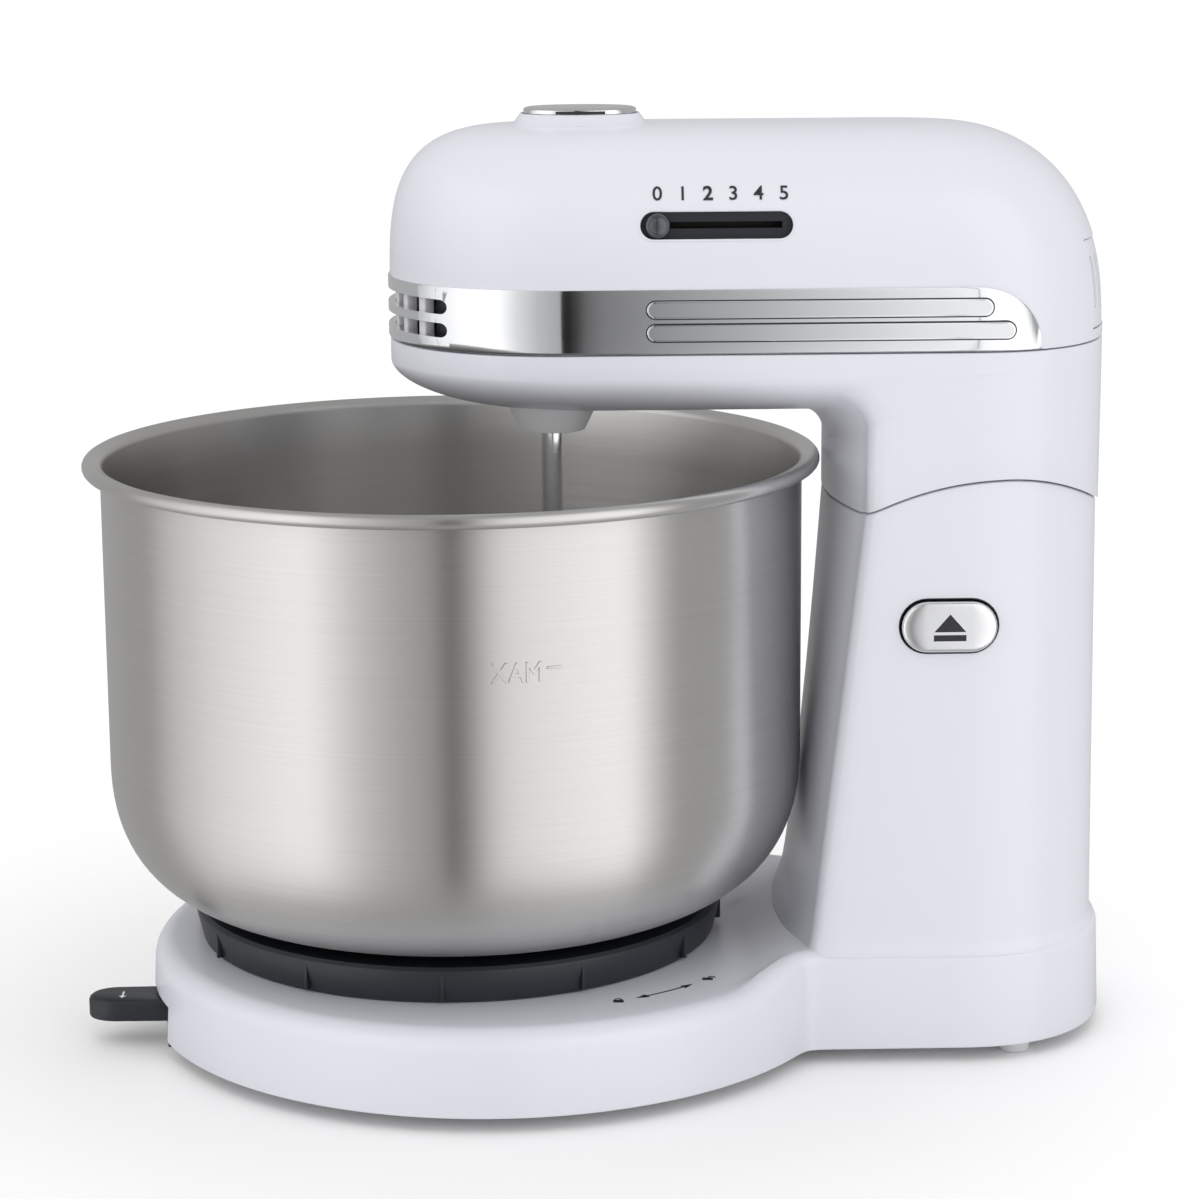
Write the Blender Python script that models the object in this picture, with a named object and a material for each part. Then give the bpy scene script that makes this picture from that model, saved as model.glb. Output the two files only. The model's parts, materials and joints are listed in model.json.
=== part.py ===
"""Tilt-head stand mixer with twin beaters, a shifting twist-lock bowl and a slide speed control.

All lengths below are millimetres, measured from the bowl's axis at the height of the table:
+X runs to the column at the rear, -X to the nose, -Y to the side with the speed slot, +Z up.
solid() turns them into metres and moves the origin to the middle of the machine's footprint.
"""
import math

import bmesh
import bpy
import numpy as np
from mathutils import Vector

# ---- driving dimensions (mm) ----------------------------------------------------------------
MM = 0.001
SMOOTH_ANGLE = math.radians(35)
GAP = 0.3                 # clearance between pieces that touch
WALL = 2.6                # moulded wall thickness
LEVER_TIP_X = -112.0      # foremost point of the machine
BASE_REAR_X = 197.0       # rearmost point of the machine
CENTRE_X = (LEVER_TIP_X + BASE_REAR_X) / 2

FOOT_HEIGHT = 4.0
SKIRT_Z = 4.3             # lower edge of the base's skirt
DISC_X = 11.5             # centre of the base's round front
DISC_R = 105.6
DECK_Z = 29.3             # flat top of the round front
BLOCK_RISE = 5.0          # how much higher the base is under the column
BLOCK_HALF = 52.6
DECK_ROUND = 6.5          # rounding between skirt and deck
SKIRT_DRAFT = 0.9         # how far the skirt leans in towards the deck
RAMP_X = (84.0, 104.0)    # the deck climbs to the block between these
HUB_X = 60.0              # a point that sees the whole outline of the base
BASE_TAIL = 47.0          # length of the rounded rear
BASE_BLEND = 28.0         # how tightly the round front turns into the block
BASE_BLEND_R = 10.0
SCREW_PLACES = ((-56.0, 34.0), (-56.0, -48.0), (140.0, 30.0), (140.0, -30.0))
FOOT_PLACES = {
    "front_left": (-38.0, 66.0),
    "front_right": (-38.0, -66.0),
    "rear_left": (166.3, 41.2),
    "rear_right": (166.3, -41.2),
}

COLUMN_Z = 34.8           # lower edge of the column
COLUMN_HALF = 50.4
COLUMN_REAR_X = (193.8, 192.6)    # at the bottom, at the top
LEAN_Z = (35.0, 165.0)            # the column's front leans back between these

TILT_X, TILT_Z = 160.0, 125.0     # hinge axis of the head
TILT_R = 49.0                     # crown of the column, round the hinge axis
SEAM_DROP = 10.2                  # fall of the seam from its crown to the front corner
SEAM_FRONT_Z = 163.6
SEAM_GAP = 0.6

HEAD_HALF = 52.0
NECK_HALF = 51.2
NECK_REAR_X = 193.4
NECK_FRONT_X = (111.4, 119.5)     # middle and corner of the neck's bowed front
HEAD_SPLIT_Z = 211.5              # joint between the lower housing and the top cover
BELLY_Z = 190.5                   # lowest line of the head
BELLY_EDGE_Z = 205.0
HEAD_TOP_Z = 273.8
NOSE_X = -17.6
NOSE_ROUND_X = 30.0               # the nose rounds off ahead of this
TAIL_ROUND_X = 140.0              # the rear rounds off behind this
NOSE_SPRING_Z = 224.0             # heights at which the rounding over starts
TAIL_SPRING_Z = 214.0
NOSE_LENGTH = 53.0                # superellipse ends of the head's plan
TAIL_LENGTH = 43.0
COVER_WALL = 3.2
BAND_Z = (211.9, 230.4)           # chrome band
BAND_END_X = 169.3
BAND_CURVE_X = 150.0
VENT_ROWS = ((215.6, 219.7), (222.3, 226.4))
RIB_ROWS = ((215.6, 220.4, 161.0), (222.1, 227.0, 154.6))
RIB_START_X = 56.6

SLOT_X = (54.6, 98.2)             # speed slot
SLOT_Z = (244.0, 252.1)
KNOB_X = 59.8
KNOB_R = 3.45

BUTTON_X = 39.0                   # eject button on top
BUTTON_TOP_Z = 278.4
RELEASE_X, RELEASE_Z = 143.7, 132.0
RELEASE_SIZE = (27.6, 14.8)

RIM_R = 110.0                     # bowl
RIM_Z = 174.9
BEAD_R = 2.1
BOWL_R = 104.7
BOWL_WALL = 0.8
BOWL_SIDES = 40                   # facets round the bowl and its ring
BOWL_CURVE_Z = 86.0
BOWL_FLOOR_Z = 41.0
BOWL_FLOOR_R = 60.0
RING_R = (78.1, 80.6)             # dark foot ring, bottom and top
RING_Z = (29.6, 40.4)
SHIFT_PIVOT_X = 85.0              # vertical pivot of the bowl shift arm
SHIFT_CLEARANCE = 10.8            # level deck kept round the foot ring for its sideways shift

SPINDLE_X, SPINDLE_Y = 30.0, 20.0
WORM_Z = 227.0
WHEEL_TEETH = 30
GEAR_MODULE = 1.0
WORM_PITCH_R = 5.0
BEATER_R = 19.2
BEATER_BOTTOM_Z = 50.0

# ---- materials ------------------------------------------------------------------------------
FINISHES = {
    "white_gloss": ((0.86, 0.87, 0.89), 0.22, 0.0),
    "white_satin": ((0.80, 0.81, 0.82), 0.45, 0.0),
    "chrome": ((0.82, 0.83, 0.85), 0.08, 1.0),
    "stainless": ((0.62, 0.60, 0.57), 0.30, 1.0),
    "steel": ((0.55, 0.56, 0.58), 0.35, 1.0),
    "anthracite": ((0.035, 0.040, 0.050), 0.38, 0.0),
    "copper": ((0.72, 0.38, 0.20), 0.35, 1.0),
    "carbon": ((0.03, 0.03, 0.03), 0.60, 0.0),
    "board": ((0.10, 0.28, 0.14), 0.55, 0.0),
    "nylon": ((0.78, 0.76, 0.68), 0.50, 0.0),
}


def finish(name):
    """Return the named Principled material, made on first use."""
    found = bpy.data.materials.get(name)
    if found:
        return found
    colour, roughness, metallic = FINISHES[name]
    made = bpy.data.materials.new(name)
    made.use_nodes = True
    shader = made.node_tree.nodes["Principled BSDF"]
    shader.inputs["Base Color"].default_value = (*colour, 1.0)
    shader.inputs["Roughness"].default_value = roughness
    shader.inputs["Metallic"].default_value = metallic
    made.diffuse_color = (*colour, 1.0)
    return made


# ---- mesh helpers ---------------------------------------------------------------------------
def clear_scene():
    """Remove every object that the file starts with."""
    for thing in list(bpy.data.objects):
        bpy.data.objects.remove(thing)


def solid(name, bm, material, pivot=(CENTRE_X, 0.0, 0.0)):
    """Make an object from a bmesh in mm, with its origin at pivot."""
    bmesh.ops.recalc_face_normals(bm, faces=bm.faces)
    origin = Vector(pivot)
    for vertex in bm.verts:
        vertex.co = (vertex.co - origin) * MM
    mesh = bpy.data.meshes.new(name)
    bm.to_mesh(mesh)
    bm.free()
    mesh.shade_smooth()
    mesh.set_sharp_from_angle(angle=SMOOTH_ANGLE)
    mesh.materials.append(finish(material))
    thing = bpy.data.objects.new(name, mesh)
    thing.location = (origin - Vector((CENTRE_X, 0.0, 0.0))) * MM
    bpy.context.scene.collection.objects.link(thing)
    return thing


def helper(bm):
    """Make a solid that only shapes another one; combine() uses it up."""
    return solid("helper", bm, "steel")


def combine(target, tools, operation="DIFFERENCE"):
    """Apply one Boolean after another to target, and remove the tools."""
    for tool in tools:
        step = target.modifiers.new("shape", "BOOLEAN")
        step.operation = operation
        step.object = tool
        bpy.context.view_layer.update()
        graph = bpy.context.evaluated_depsgraph_get()
        mesh = bpy.data.meshes.new_from_object(target.evaluated_get(graph))
        target.modifiers.clear()
        target.data = mesh
        bpy.data.objects.remove(tool)
    tidy = bmesh.new()
    tidy.from_mesh(target.data)
    bmesh.ops.remove_doubles(tidy, verts=tidy.verts, dist=2e-6)
    bmesh.ops.dissolve_degenerate(tidy, edges=tidy.edges, dist=1e-6)
    tidy.to_mesh(target.data)
    tidy.free()
    return target


def loft(rings, start_pole=None, end_pole=None):
    """Bridge closed rings of equal count into a bmesh, closed by poles or flat caps."""
    bm = bmesh.new()
    rows = [[bm.verts.new(point) for point in ring] for ring in rings]
    count = len(rows[0])
    for low, high in zip(rows, rows[1:]):
        for i in range(count):
            j = (i + 1) % count
            bm.faces.new((low[i], low[j], high[j], high[i]))
    for row, pole in ((rows[0], start_pole), (rows[-1], end_pole)):
        if pole is None:
            bm.faces.new(row)
            continue
        tip = bm.verts.new(pole)
        for i in range(count):
            bm.faces.new((row[i], row[(i + 1) % count], tip))
    return bm


def circle(cx, cy, z, radius, count):
    """Points of a horizontal circle."""
    turns = (2 * math.pi * i / count for i in range(count))
    return [(cx + radius * math.cos(a), cy + radius * math.sin(a), z) for a in turns]


def turned(profile, cx, cy, count=24):
    """A closed profile of (radius, z) turned about a vertical axis; it never reaches the axis."""
    rings = [circle(cx, cy, z, radius, count) for radius, z in profile]
    bm = bmesh.new()
    rows = [[bm.verts.new(point) for point in ring] for ring in rings]
    for low, high in zip(rows, rows[1:] + rows[:1]):
        for i in range(count):
            j = (i + 1) % count
            bm.faces.new((low[i], low[j], high[j], high[i]))
    return bm


def rod(start, end, radius, count=16):
    """A round bar between two points."""
    a, b = Vector(start), Vector(end)
    along = (b - a).normalized()
    side = along.orthogonal().normalized()
    other = along.cross(side)
    rings = []
    turns = [2 * math.pi * i / count for i in range(count)]
    for centre in (a, b):
        rings.append([centre + (side * math.cos(t) + other * math.sin(t)) * radius for t in turns])
    return loft(rings)


def tube(start, end, outer, inner, count=20):
    """A bush: a round bar with a through hole."""
    a, b = Vector(start), Vector(end)
    along = (b - a).normalized()
    side = along.orthogonal().normalized()
    other = along.cross(side)
    bm = bmesh.new()
    rows = []
    for centre, r in ((a, outer), (b, outer), (b, inner), (a, inner)):
        row = []
        for i in range(count):
            t = 2 * math.pi * i / count
            row.append(bm.verts.new(centre + side * (r * math.cos(t)) + other * (r * math.sin(t))))
        rows.append(row)
    for low, high in zip(rows, rows[1:] + rows[:1]):
        for i in range(count):
            j = (i + 1) % count
            bm.faces.new((low[i], low[j], high[j], high[i]))
    return bm


def block(low, high):
    """A box between two corners."""
    (x0, y0, z0), (x1, y1, z1) = low, high
    outline = ((x0, y0), (x1, y0), (x1, y1), (x0, y1))
    return loft([[(x, y, z) for x, y in outline] for z in (z0, z1)])


def slab(outline, y0, y1):
    """An outline of (x, z) extruded along Y."""
    return loft([[(x, y, z) for x, z in outline] for y in (y0, y1)])


def stadium(cx, cz, width, height, steps=6):
    """Outline of a bar with round ends, as (x, z) points."""
    radius = height / 2
    reach = width / 2 - radius
    points = []
    for side in (1, -1):
        for i in range(steps + 1):
            a = math.pi * (i / steps - 0.5)
            points.append((cx + side * (reach + radius * math.cos(a)), cz + side * radius * math.sin(a)))
    return points


def oval(cx, z, length, width, count=20):
    """Horizontal oval of a given length along X and width along Y, slightly squarish."""
    power = 2 / 2.3
    points = []
    for i in range(count):
        a = 2 * math.pi * i / count
        c, s = math.cos(a), math.sin(a)
        x = cx + length / 2 * math.copysign(abs(c) ** power, c)
        points.append((x, width / 2 * math.copysign(abs(s) ** power, s), z))
    return points


# ---- outlines in plan -----------------------------------------------------------------------
def quarter(a, b, power, steps):
    """A quarter of a superellipse as offsets, from (a, 0) to (0, b)."""
    share = 2 / power
    turns = [(math.cos(math.pi / 2 * i / steps), math.sin(math.pi / 2 * i / steps)) for i in range(steps)]
    return [(a * c ** share, b * s ** share) for c, s in turns] + [(0.0, b)]


def mirrored(half):
    """Close a half outline that runs from the rear to the nose on the +Y side."""
    return half + [(x, -y) for x, y in half[-2:0:-1]]


def head_outline(front, rear, half, nose=NOSE_LENGTH, tail=TAIL_LENGTH):
    """Plan of the head: superellipse tail and nose joined by straight sides."""
    back = [(rear - tail + u, v) for u, v in quarter(tail, half, 2.2, 7)]
    sides = [(rear - tail + (front + nose - rear + tail) * t, half) for t in (0.25, 0.5, 0.75)]
    face = [(front + nose - u, v) for u, v in reversed(quarter(nose, half, 2.1, 8))]
    return mirrored(back + sides + face)


def column_outline(middle, corner, rear, half, fillet=5.0, tail=43.0):
    """Plan of the column: bowed front, filleted corners, straight sides and a rounded rear."""
    back = [(rear - tail + u, v) for u, v in quarter(tail, half, 2.2, 7)]
    turn = []
    for i in range(4):
        a = math.pi / 2 * i / 3
        turn.append((corner + fillet * (1 - math.sin(a)), half - fillet * (1 - math.cos(a))))
    width = half - fillet
    bow = [(middle + (corner - middle) * t * t, width * t) for t in (0.8, 0.6, 0.4, 0.2, 0.0)]
    return mirrored(back + turn + bow)


def at_height(outline, z):
    """Lift a plan outline to a height."""
    return [(x, y, z) for x, y in outline]


def inset(outline, depth):
    """Move a plan outline inwards along its own normals."""
    points = np.array(outline)
    ahead = np.roll(points, -1, axis=0)
    behind = np.roll(points, 1, axis=0)
    run = ahead - behind
    run /= np.linalg.norm(run, axis=1)[:, None]
    inward = np.stack([-run[:, 1], run[:, 0]], axis=1)
    return [tuple(p) for p in points + depth * inward]


def smooth_step(t):
    """Ease from 0 to 1."""
    t = min(max(t, 0.0), 1.0)
    return t * t * (3 - 2 * t)


# ---- base -----------------------------------------------------------------------------------
def base_outline(count=56):
    """Plan of the base: round front blended into the block under the column."""
    points = []
    tail_x = BASE_REAR_X - BASE_TAIL
    offset = HUB_X - DISC_X
    for i in range(count):
        a = 2 * math.pi * i / count
        c, s = math.cos(a), math.sin(a)
        disc = -offset * c + math.sqrt((offset * c) ** 2 + DISC_R ** 2 - offset ** 2)
        rear = BASE_BLEND_R
        if c > 0:
            rear, far = 0.0, 200.0
            for _ in range(40):
                middle = (rear + far) / 2
                u = max(HUB_X + middle * c - tail_x, 0.0) / BASE_TAIL
                v = abs(middle * s) / BLOCK_HALF
                rear, far = (middle, far) if u ** 2.2 + v ** 2.2 < 1 else (rear, middle)
        reach = (disc ** BASE_BLEND + rear ** BASE_BLEND) ** (1 / BASE_BLEND)
        points.append((HUB_X + reach * c, reach * s))
    return points


def deck_height(x):
    """The deck is level round the bowl and ramps up to the foot of the column."""
    return DECK_Z + BLOCK_RISE * smooth_step((x - RAMP_X[0]) / (RAMP_X[1] - RAMP_X[0]))


def base_skin(depth, bottom):
    """Rings of the base's skin at a depth under its surface, from the skirt to the middle."""
    edge = base_outline()
    rings = [at_height(inset(edge, depth), bottom)]
    rings.append([(x, y, deck_height(x) - DECK_ROUND) for x, y in inset(edge, depth + SKIRT_DRAFT)])
    for turn in (45, 90):
        a = math.radians(turn)
        inner = inset(edge, SKIRT_DRAFT + depth + (DECK_ROUND - depth) * (1 - math.cos(a)))
        lift = DECK_ROUND - (DECK_ROUND - depth) * math.sin(a)
        rings.append([(x, y, deck_height(x) - lift) for x, y in inner])
    for part in (0.72, 0.45):
        flat = [(HUB_X + (x - HUB_X) * part, y * part) for x, y in edge]
        rings.append([(x, y, deck_height(x) - depth) for x, y in flat])
    return rings


def make_base():
    """Skirted top housing of the base, its bottom plate, feet and screws."""
    outer = base_skin(0.0, SKIRT_Z)
    inner = base_skin(WALL, SKIRT_Z)
    top = (HUB_X, 0.0, deck_height(HUB_X))
    under = (HUB_X, 0.0, deck_height(HUB_X) - WALL)
    housing = solid("base_housing", loft(outer[::-1] + inner, top, under), "white_gloss")
    hub_hole = helper(rod((0, 0, 20), (0, 0, 40), 30.6, 36))
    lever_slot = helper(block((-110, -38.5, 3), (-82, 6.5, 15.6)))
    level = helper(rod((0, 0, DECK_Z + 0.05), (0, 0, 60), RING_R[1] + SHIFT_CLEARANCE, 48))
    combine(housing, [level, hub_hole, lever_slot])

    plan = inset(base_outline(), WALL + 0.6)
    plate = solid("base_bottom_plate", loft([at_height(plan, 4.3), at_height(plan, 6.4)]), "white_satin")
    pivot = helper(rod((SHIFT_PIVOT_X, 0, 3), (SHIFT_PIVOT_X, 0, 8), 4.0 + GAP))
    tools = [pivot]
    for x, y in SCREW_PLACES:
        tools.append(helper(rod((x, y, 3), (x, y, 8), 1.6 + GAP, 10)))
    combine(plate, tools)
    solid("shift_pivot_pin", rod((SHIFT_PIVOT_X, 0, 4.5), (SHIFT_PIVOT_X, 0, 15.0), 4.0), "steel")

    for label, (x, y) in FOOT_PLACES.items():
        foot = loft([circle(x, y, z, r, 20) for z, r in ((0.0, 4.2), (1.0, 4.6), (FOOT_HEIGHT, 5.1))])
        solid("foot_" + label, foot, "nylon")
    for number, (x, y) in enumerate(SCREW_PLACES, 1):
        shank = rod((x, y, 2.8), (x, y, 11.0), 1.6, 10)
        screw = solid("base_screw_%d" % number, shank, "steel")
        combine(screw, [helper(rod((x, y, 2.2), (x, y, 4.0), 3.2, 12))], "UNION")


# ---- column ---------------------------------------------------------------------------------
def seam_height(x):
    """Height of the arched joint between the column and the neck."""
    if x >= TILT_X:
        return TILT_Z + math.sqrt(max(TILT_R ** 2 - (x - TILT_X) ** 2, 0.0))
    fall = SEAM_DROP * ((TILT_X - x) / 41.0) ** 2
    return max(TILT_Z + TILT_R - fall, SEAM_FRONT_Z)


def arch(offset, rear=215.0, floor=None):
    """Outline in (x, z) of everything below the seam, moved along Z by offset."""
    xs = [90.0, 118.0, 119.0, 124.0, 131.0, 138.0, 145.0, 152.5]
    points = [(x, seam_height(x) + offset) for x in xs]
    for i in range(8):
        a = math.radians(90 - 6.2 * i)
        reach = TILT_R + offset
        points.append((TILT_X + reach * math.cos(a), TILT_Z + reach * math.sin(a)))
    points.append((rear, points[-1][1]))
    if floor is not None:
        points += [(rear, floor), (xs[0], floor)]
    return points


def column_at(z, depth=0.0):
    """Plan of the column at a height: bowed front that leans back, drafted sides."""
    t = max(z - LEAN_Z[0], 0.0) / (LEAN_Z[1] - LEAN_Z[0])
    middle = 97.5 + 14.2 * t ** 0.62
    corner = 104.0 + 15.4 * t
    rear = COLUMN_REAR_X[0] + (COLUMN_REAR_X[1] - COLUMN_REAR_X[0]) * t
    return inset(column_outline(middle, corner, rear, COLUMN_HALF), depth)


def make_column():
    """Hollow column with an arched crown, slots for the hinge arms and the release button."""
    heights = (COLUMN_Z, 48.0, 64.0, 84.0, 106.0, 128.0, 150.0, 182.0)
    outer = solid("column_shell", loft([at_height(column_at(z), z) for z in heights]), "white_gloss")
    outer_arch = helper(slab(arch(0.0, floor=20.0), -70, 70))
    combine(outer, [outer_arch], "INTERSECT")
    inside_z = (COLUMN_Z - 5.0,) + heights[1:]
    core = loft([at_height(column_at(max(z, COLUMN_Z), WALL), z) for z in inside_z])
    hollow = helper(core)
    inner_arch = helper(slab(arch(-WALL, floor=20.0), -65, 65))
    combine(hollow, [inner_arch], "INTERSECT")
    tools = [hollow]
    for side in (-1, 1):
        y0, y1 = sorted((side * 12.6, side * 19.4))
        tools.append(helper(block((138.0, y0, 157.0), (187.0, y1, 190.0))))
    window = slab(stadium(RELEASE_X, RELEASE_Z, RELEASE_SIZE[0] + 7.0, RELEASE_SIZE[1] + 6.6), -60, -40)
    tools.append(helper(window))
    tools.append(helper(rod((180, 0, 58), (205, 0, 58), 6.0)))
    combine(outer, tools)

    ring = slab(stadium(RELEASE_X, RELEASE_Z, RELEASE_SIZE[0] + 6.4, RELEASE_SIZE[1] + 6.0), -50.6, -46.4)
    bezel = solid("release_bezel", ring, "anthracite")
    opening = slab(stadium(RELEASE_X, RELEASE_Z, RELEASE_SIZE[0] + 0.8, RELEASE_SIZE[1] + 0.8), -60, -40)
    combine(bezel, [helper(opening)])

    gland = tube((184.0, 0, 58), (193.3, 0, 58), 5.7, 3.6)
    solid("cord_gland", gland, "anthracite")


def make_hinge():
    """Cheeks that stand on the base, the pin through them and the bracket that turns on it."""
    for side, label in ((-1, "right"), (1, "left")):
        y0, y1 = sorted((side * 22.0, side * 26.0))
        foot_y0, foot_y1 = sorted((side * 22.0, side * 36.0))
        cheek = solid("hinge_cheek_" + label, block((148, y0, 35.0), (172, y1, 136.0)), "steel")
        flange = helper(block((148, foot_y0, 35.0), (172, foot_y1, 38.5)))
        combine(cheek, [flange], "UNION")
        if side > 0:
            tab = helper(block((130.0, y0, 126.0), (150.0, y1, 136.0)))
            combine(cheek, [tab], "UNION")
        bore = helper(rod((TILT_X, y0 - 2, TILT_Z), (TILT_X, y1 + 2, TILT_Z), 4.0 + GAP, 20))
        combine(cheek, [bore])
    solid("hinge_pin", rod((TILT_X, -28.0, TILT_Z), (TILT_X, 28.0, TILT_Z), 4.0, 20), "steel")

    lean = math.radians(104)
    boss = [(TILT_X + 9.5 * math.cos(a), TILT_Z + 9.5 * math.sin(a))
            for a in (lean - math.pi / 2 - math.pi * i / 9 for i in range(10))]
    outline = boss + [(137.5, 182.0), (137.5, 206.0), (151.0, 206.0), (150.0, 176.0)]
    bracket = None
    for side in (-1, 1):
        y0, y1 = sorted((side * 14.0, side * 18.0))
        arm = solid("hinge_bracket", slab(outline, y0, y1), "steel", (TILT_X, 0, TILT_Z))
        bracket = combine(bracket, [arm], "UNION") if bracket else arm
    bridge = helper(block((139.0, -17.0, 196.0), (149.5, 17.0, 202.0)))
    combine(bracket, [bridge], "UNION")
    bore = helper(rod((TILT_X, -25, TILT_Z), (TILT_X, 25, TILT_Z), 4.0 + GAP, 20))
    combine(bracket, [bore])


def make_release():
    """Head release: chromed button with its stem, latch bar and return spring."""
    x, z = RELEASE_X, RELEASE_Z
    origin = (x, -50.0, z)
    rings = []
    for y, trim in ((-53.2, 1.6), (-52.2, 0.0), (-47.4, 0.0)):
        outline = stadium(x, z, RELEASE_SIZE[0] - 2 * trim, RELEASE_SIZE[1] - 2 * trim)
        rings.append([(u, y, w) for u, w in outline])
    button = solid("release_button", loft(rings), "chrome", origin)
    stem = rod((136.0, -47.5, z), (136.0, -40.3, z), 3.0, 12)
    combine(button, [helper(stem)], "UNION")
    solid("latch_bar", block((132.0, -40.0, 127.0), (140.0, 9.0, 137.0)), "steel", origin)
    turns, steps, radius, wire = 3, 8, 4.2, 0.55
    spring = coil((136.0, z), (14.0, 21.0), turns, steps, radius, wire, "Y")
    solid("release_spring", spring, "steel")


def coil(centre, span, turns, steps, radius, wire, axis):
    """A spring of round wire about an axis along Y or Z, with closed ends."""
    rings = []
    total = turns * steps
    for i in range(total + 1):
        a = 2 * math.pi * i / steps
        along = span[0] + (span[1] - span[0]) * i / total
        ring = []
        for k in range(4):
            b = math.pi / 2 * k
            r = radius + wire * math.cos(b)
            h = along + wire * math.sin(b)
            u, v = centre[0] + r * math.cos(a), centre[1] + r * math.sin(a)
            ring.append((u, h, v) if axis == "Y" else (u, v, h))
        rings.append(ring)
    return loft(rings)


# ---- head -----------------------------------------------------------------------------------
def profile_share(t, power):
    """How much of a superellipse's full reach is left at a share t of its height."""
    t = min(max(t, 0.0), 1.0)
    return (1 - t ** power) ** (1 / power)


def cover_at(z, depth=0.0):
    """Plan of the top cover at a height; nose, sides and rear round over separately."""
    rise = (z - NOSE_SPRING_Z) / (HEAD_TOP_Z - NOSE_SPRING_Z)
    front = NOSE_ROUND_X - (NOSE_ROUND_X - NOSE_X) * profile_share(rise, 3.5)
    tail_rise = (z - TAIL_SPRING_Z) / (HEAD_TOP_Z - TAIL_SPRING_Z)
    rear = TAIL_ROUND_X + (NECK_REAR_X - TAIL_ROUND_X) * profile_share(tail_rise, 2.4)
    share = profile_share(rise, 3.2)
    nose = NOSE_LENGTH * (0.3 + 0.7 * share)
    tail = TAIL_LENGTH * (0.35 + 0.65 * share)
    return inset(head_outline(front, rear, HEAD_HALF * share, nose, tail), depth)


def band_strip(inner, outer, z0, z1, start_x, curve_x=None):
    """A strip that follows the head's outline round the nose, back to start_x on both sides.

    With curve_x its top edge falls in a quarter ellipse from there to the end.
    """
    end_z = z1 - (BAND_Z[1] - BAND_Z[0]) + 0.8
    plan = head_outline(NOSE_X, NECK_REAR_X, HEAD_HALF)
    lines = []
    for offset in (inner, outer):
        line = inset(plan, offset)
        first = next(i for i, p in enumerate(line) if p[0] < start_x)
        middle = line[first:len(line) - first + 1]
        lines.append([(start_x, middle[0][1])] + middle + [(start_x, middle[-1][1])])
    near, far = lines
    if curve_x is not None:
        extra = [curve_x + (start_x - curve_x) * math.sin(math.radians(t)) for t in (80, 60, 40, 20, 0)]
        for line in (near, far):
            first, last = line[1], line[-2]
            head = [line[0]] + [(x, first[1]) for x in extra if x > first[0] + 0.5]
            tail = [(x, last[1]) for x in reversed(extra) if x > last[0] + 0.5] + [line[-1]]
            line[:] = head + line[1:-1] + tail
    rings = []
    for (nx, ny), (fx, fy) in zip(near, far):
        top = z1
        if curve_x is not None and fx > curve_x:
            drop = 1 - math.sqrt(max(1 - ((fx - curve_x) / (start_x - curve_x)) ** 2, 0.0))
            top = z1 - (z1 - end_z) * drop
        rings.append([(nx, ny, z0), (fx, fy, z0), (fx, fy, top), (nx, ny, top)])
    return loft(rings)


def make_top_cover():
    """Upper shell of the head with its recess for the band, vents, slot and button hole."""
    heights = (HEAD_SPLIT_Z + GAP, NOSE_SPRING_Z, 238.0, 250.0, 259.0, 266.0, 270.6, 273.0)
    outer = [at_height(cover_at(z), z) for z in heights]
    reach = HEAD_TOP_Z - COVER_WALL
    stretch = (HEAD_TOP_Z - NOSE_SPRING_Z) / (reach - NOSE_SPRING_Z)
    inner = []
    for z in (HEAD_SPLIT_Z + GAP, NOSE_SPRING_Z, 238.0, 248.0, 256.0, 262.0, 266.6, 269.4):
        like = max(NOSE_SPRING_Z + (z - NOSE_SPRING_Z) * stretch, z) if z > NOSE_SPRING_Z else z
        inner.append(at_height(cover_at(like, COVER_WALL), z))
    top = (85.0, 0.0, HEAD_TOP_Z)
    under = (85.0, 0.0, reach)
    cover = solid("head_top_cover", loft(outer[::-1] + inner, top, under), "white_gloss")
    tools = [
        helper(band_strip(1.7, -3.0, HEAD_SPLIT_Z - 1.0, BAND_Z[1] + 0.3, BAND_END_X + 0.4,
                              BAND_CURVE_X + 0.4)),
        helper(slab(stadium(sum(SLOT_X) / 2, sum(SLOT_Z) / 2, SLOT_X[1] - SLOT_X[0],
                                SLOT_Z[1] - SLOT_Z[0]), -70, -40)),
        helper(loft([oval(BUTTON_X, z, 38.0, 29.6) for z in (262.0, 290.0)])),
        helper(rear_panel(-4.0, 6.0, (215.0, 222.0, 230.0, 236.0, 241.0), 0.0)),
    ]
    for low, high in VENT_ROWS:
        tools.append(helper(band_strip(8.0, -4.0, low, high, 0.0)))
    combine(cover, tools)


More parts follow.
